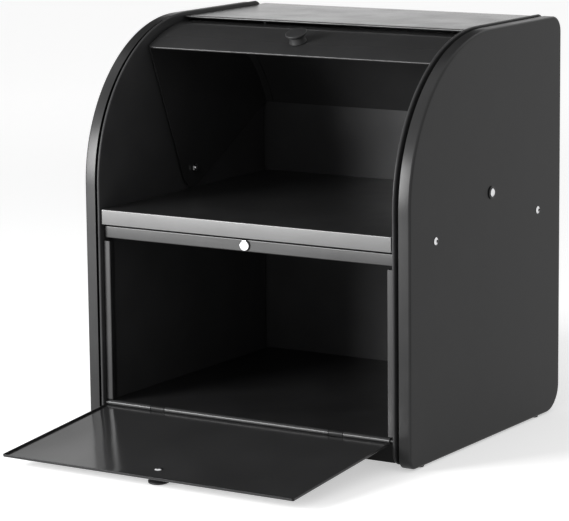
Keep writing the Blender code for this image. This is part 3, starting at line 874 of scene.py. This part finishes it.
# Sides
@dataclass
class BinSide(Assembly):
    """One side: the outer cap, the inner wall with its bead, and their screws."""

    side: Side = Side.RIGHT
    cap_edge: float = 0.0018
    flat_share: float = 0.95
    toe: float = 0.010
    crown: float = 0.014
    heel: float = 0.023
    bead_width: float = 0.0024
    groove_depth: float = 0.0085
    tuck: float = 0.0077
    wall_corner: float = 0.010
    roll_steps: int = 96
    corner_steps: int = 16
    first_tilt_deg: float = 20.0
    next_tilt_deg: float = 31.0
    pivot_head: tuple[float, float] = (0.0035, 0.0014)
    washer_edge_share: float = 1 / 3

    def outline(self, back: float, bottom: float, corners: Triple, inset: float) -> list[Point]:
        """Outline of a side: straight front, quarter roll, flat top and rounded corners.

        Args:
            back: Y of the back edge.
            bottom: Z of the bottom edge.
            corners: radius at the toe, the crown and the heel.
            inset: how far inside that line the outline runs.

        Returns:
            Points (y, z) in order.
        """
        datum = self.datum
        toe, crown, heel = corners
        roll = datum.pivot.y - datum.front
        points = arc((datum.front + toe, bottom + toe), toe - inset, 270, 180, self.corner_steps)
        points += arc((datum.pivot.y, datum.pivot.z), roll - inset, 180, 90, self.roll_steps)
        points += arc((back - crown, datum.top - crown), crown - inset, 90, 0, self.corner_steps)
        points += arc((back - heel, bottom + heel), heel - inset, 0, -90, self.corner_steps)
        return points

    def screw_places(self) -> dict[str, Point]:
        """Places (y, z) of this side's three screws, by the middle words of their nodes' names."""
        return {"pivot": (self.datum.pivot.y, self.datum.pivot.z), **shelf_screws(self.side)}

    def drilled(self, piece: Piece, face_x: float) -> None:
        """Bores the screws' holes through an upright sheet and makes it.

        Args:
            piece: the piece to bore.
            face_x: distance of the sheet's inner face from the middle of the bin.
        """
        sign = self.side.value
        for y, z in self.screw_places().values():
            piece.bored(Screw.hole, along_x(sign * face_x, y, z, sign))
        self.keep(piece)

    def cap(self) -> None:
        """The outer cap, a tray whose rim turns inwards."""
        datum, edge = self.datum, self.cap_edge
        stations = [(datum.half, 2 * edge)]
        stations += arc((datum.half - edge, edge), edge, 0, -90, datum.sheet.bend_steps)
        stations += [(datum.rim, 0)]
        corners = (self.toe, self.crown, self.heel)
        outline = partial(self.outline, datum.back, datum.bottom, corners)
        piece = self.sheeted(
            f"{self.side.label}_side_cap", COAT, tray(stations, outline, self.side)
        )
        # Painted shade: the flat face gets the copy of the coat with the weaker sheen.
        piece.painted_shade_faces = (FACE_SHADED_COAT, lambda face: abs(face.normal.x) > self.flat_share)
        self.drilled(piece, datum.half - datum.sheet.thick)

    def wall(self) -> None:
        """The inner wall with the proud bead round its edge."""
        datum, node = self.datum, f"{self.side.label}_inner_side"
        low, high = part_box(node)
        proud = high.z - datum.top
        bead_out = datum.wall + self.bead_width
        radius = self.bead_width / 2
        corners = (self.wall_corner,) * 3
        stations = [(datum.wall, self.groove_depth)]
        stations += arc(
            (datum.wall + radius, radius - proud), radius, 180, 360, 2 * datum.sheet.bend_steps
        )
        stations += [(bead_out, self.groove_depth), (bead_out + self.tuck, self.groove_depth)]
        back, bottom = high.y - proud, low.z + proud
        shape = tray(stations, partial(self.outline, back, bottom, corners), self.side)
        self.drilled(self.sheeted(node, INNER_PAINTED_FILL_COAT, shape), datum.wall)

    def screw(self, which: str, place: Point) -> None:
        """One of the side's screws; those of the shelf have a socket.

        Args:
            which: middle word of the node's name.
            place: its (y, z).
        """
        node = f"{self.side.label}_{which}_screw"
        inner, outer = span_x(node, self.side)
        plain = which == "pivot"
        head, rise = self.pivot_head if plain else (Screw.head, Screw.rise)
        screw = Screw(outer - rise - inner, head, rise)
        axis = along_x(self.side.value * (outer - rise), *place, self.side.value)
        tilt_deg = None if plain else self.first_tilt_deg + self.next_tilt_deg * len(self.pieces)
        self.keep(screw.piece(node, self.body, axis, tilt_deg))

    def washer(self) -> None:
        """The black washer under the pivot screw."""
        node = f"{self.side.label}_pivot_washer"
        low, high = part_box(node)
        start, end = span_x(node, self.side)
        thick, outer = end - start, (high.z - low.z) / 2
        edge = thick * self.washer_edge_share
        profile = [(Screw.hole, 0)] + arc((outer - edge, edge), edge, -90, 0, EDGE_STEPS)
        profile += arc((outer - edge, thick - edge), edge, 0, 90, EDGE_STEPS)
        profile += [(Screw.hole, thick)]
        pivot, sign = self.datum.pivot, self.side.value
        place = along_x(sign * start, pivot.y, pivot.z, sign)
        self.keep(Piece(node, self.body, PLASTIC, turned(profile), place=place))

    def build(self) -> None:
        """Builds the side."""
        self.cap()
        self.wall()
        for which, place in self.screw_places().items():
            self.screw(which, place)
        self.washer()


# Panels between the sides
@dataclass
class Panels(Assembly):
    """Top, back, shelf, rail and jambs, folded from sheet."""

    hem_thick: float = 0.002
    hem_reach: float = 0.008
    hem_steps: int = 16
    top_side_turn: float = 0.007
    top_back_turn: float = 0.012
    top_cut_edge: float = 0.0001
    nose_lean: float = -0.2
    vent_radius: float = 0.003
    vent_count: int = 7
    vent_pitch: float = 0.020
    vent_drop: float = 0.045
    shelf_lip: float = 0.013
    tight_bend: float = 0.0009
    rail_step: float = 0.003
    rail_gap: float = 0.0018
    magnet_hole: float = 0.0037
    jamb_return: float = 0.004
    jamb_spread: float = 0.001
    jamb_gap: float = 0.0024
    jamb_web: float = 0.015

    def tight(self) -> Sheet:
        """The sheet metal with the tighter bend of the front edges."""
        return replace(self.datum.sheet, bend=self.tight_bend)

    def top(self) -> None:
        """Flat top with a rolled hem over the upper door."""
        sheet = self.datum.sheet
        low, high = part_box("top_panel")
        nose = self.hem_thick / 2
        along = [(low.y + self.hem_reach, high.z - self.hem_thick)]
        along += arc((low.y + nose, high.z - nose), nose, 270, 90, self.hem_steps)
        turn_start = len(along)
        along += [(low.y + self.hem_reach + nose, high.z), (self.datum.rear_inside, high.z)]
        along += sheet.bent((high.y, high.z), 90, 0)
        along += [(high.y, high.z - self.top_back_turn)]
        across = sheet.turned_edges(self.datum.inside, self.top_side_turn, -1)
        flat = self.datum.inside - sheet.bend
        shape = folded(across, along, lambda row, x: abs(x) < flat or row == turn_start)
        piece = self.sheeted("top_panel", TOP_PAINTED_SHEEN_COAT, shape)
        piece.bevel = self.top_cut_edge
        # Painted shade: the front of the nose gets the rail's copy of the coat, whose sheen is weaker
        # than the top's.
        piece.painted_shade_faces = (RAIL_PAINTED_SHEEN_COAT, lambda face: face.normal.y < self.nose_lean)
        self.keep(piece)

    def back(self) -> None:
        """Back sheet with a row of air holes."""
        low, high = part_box("back_panel")
        corners = [(high.x, low.z), (low.x, low.z), (low.x, high.z), (high.x, high.z)]
        shape = filled([(x, high.y, z) for x, z in corners])
        piece = self.sheeted("back_panel", INNER_PAINTED_FILL_COAT, shape)
        for number in range(self.vent_count):
            x = (number - (self.vent_count - 1) / 2) * self.vent_pitch
            piece.bored(self.vent_radius, forwards((x, high.y, high.z - self.vent_drop)))
        self.keep(piece)

    def shelf(self) -> None:
        """Shelf turned down on all four sides; its front turn is the lip."""
        sheet = self.datum.sheet
        low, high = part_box("shelf")
        along = [(low.y, high.z - self.shelf_lip)] + self.tight().bent((low.y, high.z), 180, 90)
        flat_row = len(along) - 1
        along += sheet.bent((high.y, high.z), 90, 0)
        along += [(high.y, high.z - self.shelf_lip)]
        across = sheet.turned_edges(self.datum.inside, self.shelf_lip, -1)
        flat = self.datum.inside - sheet.bend
        shape = folded(across, along, lambda row, x: abs(x) < flat or row == flat_row)
        piece = self.sheeted("shelf", SHELF_PAINTED_SHEEN_COAT, shape)
        face_x = self.datum.inside - sheet.thick
        for side in Side:
            for y, z in shelf_screws(side).values():
                piece.bored(Screw.hole, along_x(side.value * face_x, y, z, side.value))
        self.keep(piece)

    def rail(self) -> None:
        """Channel under the shelf's lip, with the hole for the magnet's cup."""
        low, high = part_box("door_stop_rail")
        tight = self.tight()
        step_y = low.y + self.rail_step
        step_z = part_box("shelf")[0].z - self.rail_gap
        along = [(high.y, low.z)] + tight.bent((low.y, low.z), 270, 180)
        along += tight.bent((low.y, step_z), 180, 90)
        along += tight.bent((step_y, step_z), -90, 0) + tight.bent((step_y, high.z), 180, 90)
        along += [(high.y, high.z)]
        shape = folded([(low.x, 0), (high.x, 0)], along)
        piece = self.sheeted("door_stop_rail", RAIL_PAINTED_SHEEN_COAT, shape)
        behind_face = (0, low.y + tight.thick, middle_of("magnet_cup").z)
        piece.bored(self.magnet_hole, forwards(behind_face))
        self.keep(piece)

    def jamb(self, side: Side) -> None:
        """Upright channel beside the lower opening.

        Args:
            side: the side of the bin it is on.
        """
        node = f"{side.label}_jamb"
        low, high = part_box(node)
        inner, outer = span_x(node, side)
        inner -= self.jamb_spread
        tight = self.tight()
        path = [(inner, low.y + self.jamb_return)] + tight.bent((inner, low.y), 180, 270)
        path += tight.bent((outer, low.y), 270, 360) + [(outer, low.y + self.jamb_web)]
        shape = bmesh.new()
        line = chain(shape, [(side.value * x, y, low.z) for x, y in path])
        _, verts, faces = drawn_out(shape, line)
        bmesh.ops.translate(shape, verts=verts, vec=(0, 0, high.z - low.z - self.jamb_gap))
        if side is Side.RIGHT:
            bmesh.ops.reverse_faces(shape, faces=faces)
        self.keep(self.sheeted(node, RAIL_PAINTED_SHEEN_COAT, shape))

    def build(self) -> None:
        """Builds the panels."""
        self.top()
        self.back()
        self.shelf()
        self.rail()
        for side in Side:
            self.jamb(side)


# Magnet
@dataclass
class Catch(Assembly):
    """Magnet that holds the lower door; its cup is kept from the model."""

    stem: float = 0.0025
    face: float = 0.0004
    edge: float = 0.00015

    def build(self) -> None:
        """Builds the magnet's bright disc, with its stem behind."""
        low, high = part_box("magnet")
        radius, length = (high.x - low.x) / 2, high.y - low.y
        seat = length - self.face
        profile = [(0, 0), (self.stem, 0), (self.stem, seat), (radius, seat)]
        profile += arc((radius - self.edge, length - self.edge), self.edge, 0, 90, EDGE_STEPS)
        profile += [(0, length)]
        middle = middle_of("magnet")
        place = forwards((middle.x, high.y, middle.z))
        self.keep(Piece("magnet", self.body, NICKEL, turned(profile), place=place))


# Doors
@dataclass
class Door(Assembly):
    """A door with a knob outside."""

    knob: Knob = Knob()

    def add_knob(self, door: str, outside: Matrix, tilt_deg: float = 27.0) -> None:
        """Adds the knob and its screw.

        Args:
            door: name that starts their nodes' names.
            outside: place on the door's outer face, its Z pointing outwards.
            tilt_deg: how far the screw's socket is turned.
        """
        sheet = self.datum.sheet
        lifted = outside @ Matrix.Translation((0, 0, sheet.fit))
        self.keep(Piece(f"{door}_knob", self.body, PLASTIC, self.knob.solid(), place=lifted))
        under_head = -sheet.thick - sheet.fit
        inside = outside @ Matrix.Translation((0, 0, under_head)) @ Matrix.Rotation(pi, 4, "X")
        screw = Screw(self.knob.bore_depth - under_head)
        self.keep(screw.piece(f"{door}_knob_screw", self.body, inside, tilt_deg))


@dataclass
class LowerDoor(Door):
    """Fall-front door: a shallow tray curled round the hinge rod, with a knob outside."""

    body: Body = Body.LOWER
    depth: float = 0.0024
    turn_start: float = 0.007
    notch_reach: float = 0.0045
    notch_side: float = 0.0005
    tab_inset: float = 0.0529
    tab_width: float = 0.0135
    rod: float = 0.0014
    curl_end_deg: float = 560.0
    curl_steps: int = 56

    @property
    def outer(self) -> float:
        """Radius of the curl round the rod."""
        return self.rod + self.datum.sheet.fit + self.datum.sheet.thick

    @property
    def notch_half(self) -> float:
        """Half the width of the notch round a hinge tab."""
        return self.tab_width / 2 + self.notch_side

    def place(self) -> Matrix:
        """Place of the door's own frame, its X along the hinge and the door along -Y."""
        return Matrix.Translation(self.datum.hinge) @ Matrix.Rotation(self.datum.droop, 4, "X")

    def stations(self, half: float) -> list[Point]:
        """Stations across the door, with those beside the hinge's notches.

        Args:
            half: half the door's width.

        Returns:
            Pairs of x and rise.
        """
        across = self.datum.sheet.turned_edges(half, self.depth, 1)
        tab, reach = half - self.tab_inset, self.notch_half
        notches = [sign * tab + end * reach for sign in (-1, 1) for end in (-1, 1)]
        middle = len(across) // 2
        return across[:middle] + [(x, 0) for x in notches] + across[middle:]

    def leaf(self, length: float, outside: Matrix) -> None:
        """The door's sheet.

        Args:
            length: from the hinge's axis to the free edge.
            outside: place of the knob on the outer face.
        """
        sheet, outer = self.datum.sheet, self.outer
        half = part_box("lower_door")[1].x
        curl = arc((0, 0), outer, self.curl_end_deg, 270, self.curl_steps)
        along = curl + [(-self.notch_reach, -outer), (-self.turn_start, -outer)]
        notch_row = len(curl)
        turn_row = notch_row + 1
        along += sheet.bent((-length, -outer), 270, 180) + [(-length, self.depth - outer)]
        tab = half - self.tab_inset

        def there(row: int, x: float) -> bool:
            """Whether a cell of the sheet is there.

            Args:
                row: its row along the door.
                x: its middle across the door.

            Returns:
                False in the notches and beside the side turns.
            """
            at_edge = abs(x) > half - sheet.bend
            beside = abs(abs(x) - tab) > self.notch_half
            return row == turn_row if at_edge else row >= notch_row or beside

        shape = folded(self.stations(half), along, there)
        piece = self.sheeted("lower_door", GLOSS, shape, self.place())
        piece.bored(self.knob.bore, outside)
        self.keep(piece)

    def build(self) -> None:
        """Builds the door, its knob and the knob's screw."""
        length, reach = self.lengths()
        flipped = Matrix.Rotation(pi, 4, "X")
        outside = self.place() @ Matrix.Translation((0, -reach, -self.outer)) @ flipped
        self.leaf(length, outside)
        self.add_knob("lower_door", outside)

    def lengths(self) -> tuple[float, float]:
        """Length of the door and reach of its knob, read from the model.

        Returns:
            Both, from the hinge's axis along the door.
        """
        back_to_door = self.place().inverted()
        door, knob = (
            [(back_to_door @ vert.co).y for vert in frame["nodes"][name].data.vertices]
            for name in ("lower_door", "lower_door_knob")
        )
        return -min(door), -(min(knob) + max(knob)) / 2


@dataclass
class UpperDoor(Door):
    """Roll-top door: a part of a drum with a hemmed front edge, on two fan-shaped arms."""

    body: Body = Body.UPPER
    drum_inset: float = 0.006
    front_deg: float = 60.0
    drum_steps: int = 150
    arm_steps: int = 90
    hem_thick: float = 0.002
    hem_reach_deg: float = 3.5
    hem_side: float = 0.0014
    hem_steps: int = 14
    hem_parts: int = 4
    knob_deg: float = 69.0
    arm_turn: float = 0.008
    arm_edge_deg: float = 0.4
    boss: float = 0.017
    boss_steps: int = 48
    run: float = 0.0004

    @property
    def radius(self) -> float:
        """Radius of the drum's outer face."""
        return self.datum.pivot.y - self.datum.front - self.drum_inset

    @property
    def back_deg(self) -> float:
        """Angle of the drum's rear edge, just clear of the back panel."""
        reach = self.datum.rear_inside - self.run - self.datum.pivot.y
        return 180 - degrees(acos(reach / self.radius))

    @staticmethod
    def sweep(radius: float, start_deg: float, end_deg: float, steps: int = 1) -> list[Point]:
        """Arc (y, z) about the pivot, its angles rising from straight ahead."""
        return arc((0, 0), radius, 180 - start_deg, 180 - end_deg, steps)

    def nose(self) -> tuple[float, float]:
        """Radius and angle of the hem's rounded nose."""
        centre = self.radius - self.hem_thick / 2
        return centre, self.front_deg + degrees(asin(self.hem_thick / 2 / centre))

    def leaf(self, half: float) -> None:
        """The drum with its hem.

        Args:
            half: half the door's width.
        """
        nose_radius, nose_deg = self.nose()
        hem_end = nose_deg + self.hem_reach_deg
        inner = self.radius - self.hem_thick
        along = self.sweep(inner, hem_end, nose_deg, self.hem_parts)[:-1]
        out_deg = 180 - nose_deg
        centre = self.sweep(nose_radius, nose_deg, nose_deg)[0]
        along += arc(centre, self.hem_thick / 2, out_deg + 180, out_deg, self.hem_steps)
        hem_rows = len(along) - 1
        along += self.sweep(self.radius, nose_deg, self.back_deg, self.drum_steps)[1:]
        hem_half = half - self.hem_side
        across = [(-half, 0), (-hem_half, 0), (hem_half, 0), (half, 0)]
        shape = folded(across, along, lambda row, x: abs(x) < hem_half or row >= hem_rows)
        piece = self.sheeted("upper_door", GLOSS, shape, Matrix.Translation(self.datum.pivot))
        under = Matrix.Translation((0, 0, -self.datum.sheet.thick))
        piece.bored(self.knob.bore, self.knob_place() @ under)
        self.keep(piece)

    def knob_place(self) -> Matrix:
        """Place of the knob on the drum, its Z pointing outwards."""
        lean = Matrix.Rotation(radians(90 - self.knob_deg), 4, "X")
        return Matrix.Translation(self.datum.pivot) @ lean @ Matrix.Translation((0, 0, self.radius))

    def arm(self, side: Side, half: float) -> None:
        """Fan from the pivot's boss to the drum, its rim turned inwards.

        Args:
            side: the side of the bin it is on.
            half: half the door's width.
        """
        sheet = self.datum.sheet
        rim = self.radius - sheet.thick - sheet.fit
        flat = rim - sheet.bend
        first, last = self.front_deg + self.arm_edge_deg, self.back_deg - self.arm_edge_deg
        turn_from = self.nose()[1] + self.hem_reach_deg + self.arm_edge_deg
        section = self.sweep(flat, first, first)[:1]
        section += self.sweep(flat, turn_from, last, self.arm_steps)
        tangent = degrees(asin(self.boss / flat))
        boss_from, boss_to = last + 90 - tangent, first + 270 + tangent
        section += self.sweep(self.boss, boss_from, boss_to, self.boss_steps)
        outline = [(side.value * half, y, z) for y, z in section]
        shape = filled(outline if side is Side.LEFT else outline[::-1])
        behind = radians(turn_from - self.arm_edge_deg / 2)

        def on_rim(vert: bmesh.types.BMVert) -> bool:
            """Whether this point is on the part of the rim that is turned."""
            far_out = hypot(vert.co.y, vert.co.z) > 2 * self.boss
            return far_out and atan2(vert.co.z, -vert.co.y) > behind

        line = [edge for edge in shape.edges if all(on_rim(vert) for vert in edge.verts)]
        x_now, radius_now = half, flat
        bend = arc((half - sheet.bend, flat), sheet.bend, 0, 90, sheet.bend_steps)[1:]
        for x, radius in bend + [(half - self.arm_turn, rim)]:
            line, verts, _ = drawn_out(shape, line)
            grow = radius / radius_now
            bmesh.ops.scale(shape, vec=(1, grow, grow), verts=verts)
            bmesh.ops.translate(shape, vec=(side.value * (x - x_now), 0, 0), verts=verts)
            x_now, radius_now = x, radius
        pivot = self.datum.pivot
        node = f"upper_door_{side.label}_arm"
        piece = self.sheeted(node, GLOSS, shape, Matrix.Translation(pivot))
        face_x = side.value * (half - sheet.thick)
        piece.bored(self.knob.bore, along_x(face_x, pivot.y, pivot.z, side.value))
        self.keep(piece)

    def build(self) -> None:
        """Builds the drum, its arms, the knob and the knob's screw."""
        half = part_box("upper_door")[1].x
        self.leaf(half)
        for side in Side:
            self.arm(side, half)
        self.add_knob("upper_door", self.knob_place())


# Pieces kept from the model
@dataclass
class KeptNodes(Assembly):
    """Nodes whose CAD mesh shows as it is: they only get their finish."""

    words: tuple[tuple[str, Finish], ...] = (
        ("foot_pad", RUBBER),
        ("floor_panel", FLOOR_SHADED_COAT),
        ("bush", PLASTIC),
        ("cup", PLASTIC),
        ("sleeve", STEEL),
        ("nut", STEEL),
        ("screw", STEEL),
        ("magnet", NICKEL),
        ("lower_door", GLOSS),
        ("upper_door", GLOSS),
    )

    def build(self) -> None:
        """Gives each node its finish by the words in its name."""
        for name, node in frame["nodes"].items():
            finish = next((made for word, made in self.words if word in name), COAT)
            node.data.materials.clear()
            node.data.materials.append(finish.material())


# Studio
def seen_or_mirrored(tree: bpy.types.NodeTree) -> bpy.types.NodeSocket:
    """Adds the nodes that tell rays from the camera, a glossy surface or glass from the others.

    Args:
        tree: node tree of the floor or the world.

    Returns:
        The socket that is 1 for those rays.
    """
    path = tree.nodes.new("ShaderNodeLightPath")
    seen = path.outputs["Is Camera Ray"]
    for name in ("Is Glossy Ray", "Is Transmission Ray"):
        either = tree.nodes.new("ShaderNodeMath")
        either.operation = "MAXIMUM"
        tree.links.new(seen, either.inputs[0])
        tree.links.new(path.outputs[name], either.inputs[1])
        seen = either.outputs[0]
    return seen


@dataclass(frozen=True)
class Square:
    """A flat square of one dull grey: the floor, or a card that the camera doesn't see."""

    name: str
    half: float
    grey: float
    roughness: float
    glow: float = 0.0

    def laid(self, place: Matrix) -> bpy.types.Object:
        """Lays it out in the studio.

        Args:
            place: its place, its face along Z.

        Returns:
            Its object.
        """
        shape = bmesh.new()
        bmesh.ops.create_grid(shape, x_segments=1, y_segments=1, size=self.half)
        obj = placed(self.name, shape, place)
        bench = NodeBench(f"{self.name}_paper")
        bench.shader.inputs["Base Color"].default_value = (self.grey,) * 3 + (1,)
        bench.shader.inputs["Roughness"].default_value = self.roughness
        bench.shader.inputs["Specular IOR Level"].default_value = 0.0
        if self.glow:
            self.lit(bench)
        obj.data.materials.append(bench.material)
        return obj

    def lit(self, bench: NodeBench) -> None:
        """Lifts its grey where it is seen or mirrored, so that it is white and shadows stay.

        Args:
            bench: its material.
        """
        strength = bench.add("ShaderNodeMath")
        strength.operation = "MULTIPLY"
        strength.inputs[1].default_value = self.glow
        bench.join(seen_or_mirrored(bench.tree), strength.inputs[0])
        bench.shader.inputs["Emission Color"].default_value = (1, 1, 1, 1)
        bench.join(strength.outputs[0], bench.shader.inputs["Emission Strength"])


@dataclass(frozen=True)
class Studio:
    """Pale floor, even white surroundings, one soft lamp, one dark card and the camera."""

    floor: Square = Square("studio_floor", half=6.0, grey=0.90, roughness=0.9, glow=0.5)
    card: Square = Square("studio_card", half=0.72, grey=0.08, roughness=1.0)
    card_towards: Triple = (-0.516, 0.52, 0.68)
    card_distance: float = 1.6
    world_fill: float = 0.5
    key_towards: Triple = (-0.527, -0.832, 0.175)
    key_distance: float = 1.5
    key_size: float = 0.62
    key_power: float = 30.0
    middle: Triple = (0, 0.075, 0.22)
    eye: Triple = (1.3086, -2.0569, 0.5972)
    azimuth_deg: float = 32.37
    elevation_deg: float = 10.32
    roll_deg: float = -0.60
    lens_mm: float = 184.0
    sensor_mm: float = 36.0
    sight: float = 50.0

    def facing_bin(self, towards: Triple, distance: float) -> Matrix:
        """Place of something whose back faces the bin's middle along Z.

        Args:
            towards: direction from the bin's middle.
            distance: distance from it.

        Returns:
            The place.
        """
        direction = Vector(towards).normalized()
        turn = direction.to_track_quat("Z", "Y").to_matrix().to_4x4()
        return Matrix.Translation(Vector(self.middle) + direction * distance) @ turn

    def surroundings(self) -> None:
        """Makes the world white where it is seen or mirrored, and a plain fill light elsewhere."""
        world = bpy.data.worlds.new("studio_world")
        world.use_nodes = True
        tree = world.node_tree
        background = tree.nodes["Background"]
        background.inputs["Color"].default_value = (1, 1, 1, 1)
        strength = tree.nodes.new("ShaderNodeMath")
        strength.operation = "MULTIPLY_ADD"
        strength.inputs[1].default_value = 1 - self.world_fill
        strength.inputs[2].default_value = self.world_fill
        tree.links.new(seen_or_mirrored(tree), strength.inputs[0])
        tree.links.new(strength.outputs[0], background.inputs["Strength"])
        bpy.context.scene.world = world

    def lamp(self) -> None:
        """Hangs the square soft lamp at the front left."""
        light = bpy.data.lights.new("front_softbox", "AREA")
        light.shape = "SQUARE"
        light.size = self.key_size
        light.energy = self.key_power
        obj = bpy.data.objects.new("front_softbox", light)
        bpy.context.scene.collection.objects.link(obj)
        obj.matrix_world = self.facing_bin(self.key_towards, self.key_distance)

    def camera(self) -> None:
        """Sets up the camera at the photograph's angle."""
        data = bpy.data.cameras.new("view")
        data.sensor_width = self.sensor_mm
        data.lens = self.lens_mm
        data.clip_end = self.sight
        obj = bpy.data.objects.new("view", data)
        bpy.context.scene.collection.objects.link(obj)
        azimuth, elevation = radians(self.azimuth_deg), radians(self.elevation_deg)
        level = Matrix.Rotation(azimuth, 4, "Z") @ Matrix.Rotation(pi / 2 - elevation, 4, "X")
        turn = level @ Matrix.Rotation(radians(self.roll_deg), 4, "Z")
        obj.matrix_world = Matrix.Translation(self.eye) @ turn
        bpy.context.scene.camera = obj

    def build(self) -> None:
        """Sets up the floor, the light and the camera."""
        self.floor.laid(AS_DRAWN)
        card = self.card.laid(self.facing_bin(self.card_towards, self.card_distance))
        card.visible_camera = False
        self.surroundings()
        self.lamp()
        self.camera()
        bpy.context.scene.view_settings.view_transform = "Standard"


def main() -> None:
    """Builds the bin and the studio."""
    logging.basicConfig(level=logging.INFO, format="%(message)s")
    datum = Datum.read()
    KeptNodes(datum).build()
    assemblies: list[Assembly] = [BinSide(datum, side=side) for side in Side]
    assemblies += [Panels(datum), Catch(datum), LowerDoor(datum), UpperDoor(datum)]
    for assembly in assemblies:
        assembly.build()
        LOG.info("%s: %d pieces", type(assembly).__name__, len(assembly.pieces))
    Studio().build()


if __name__ == "__main__":
    main()
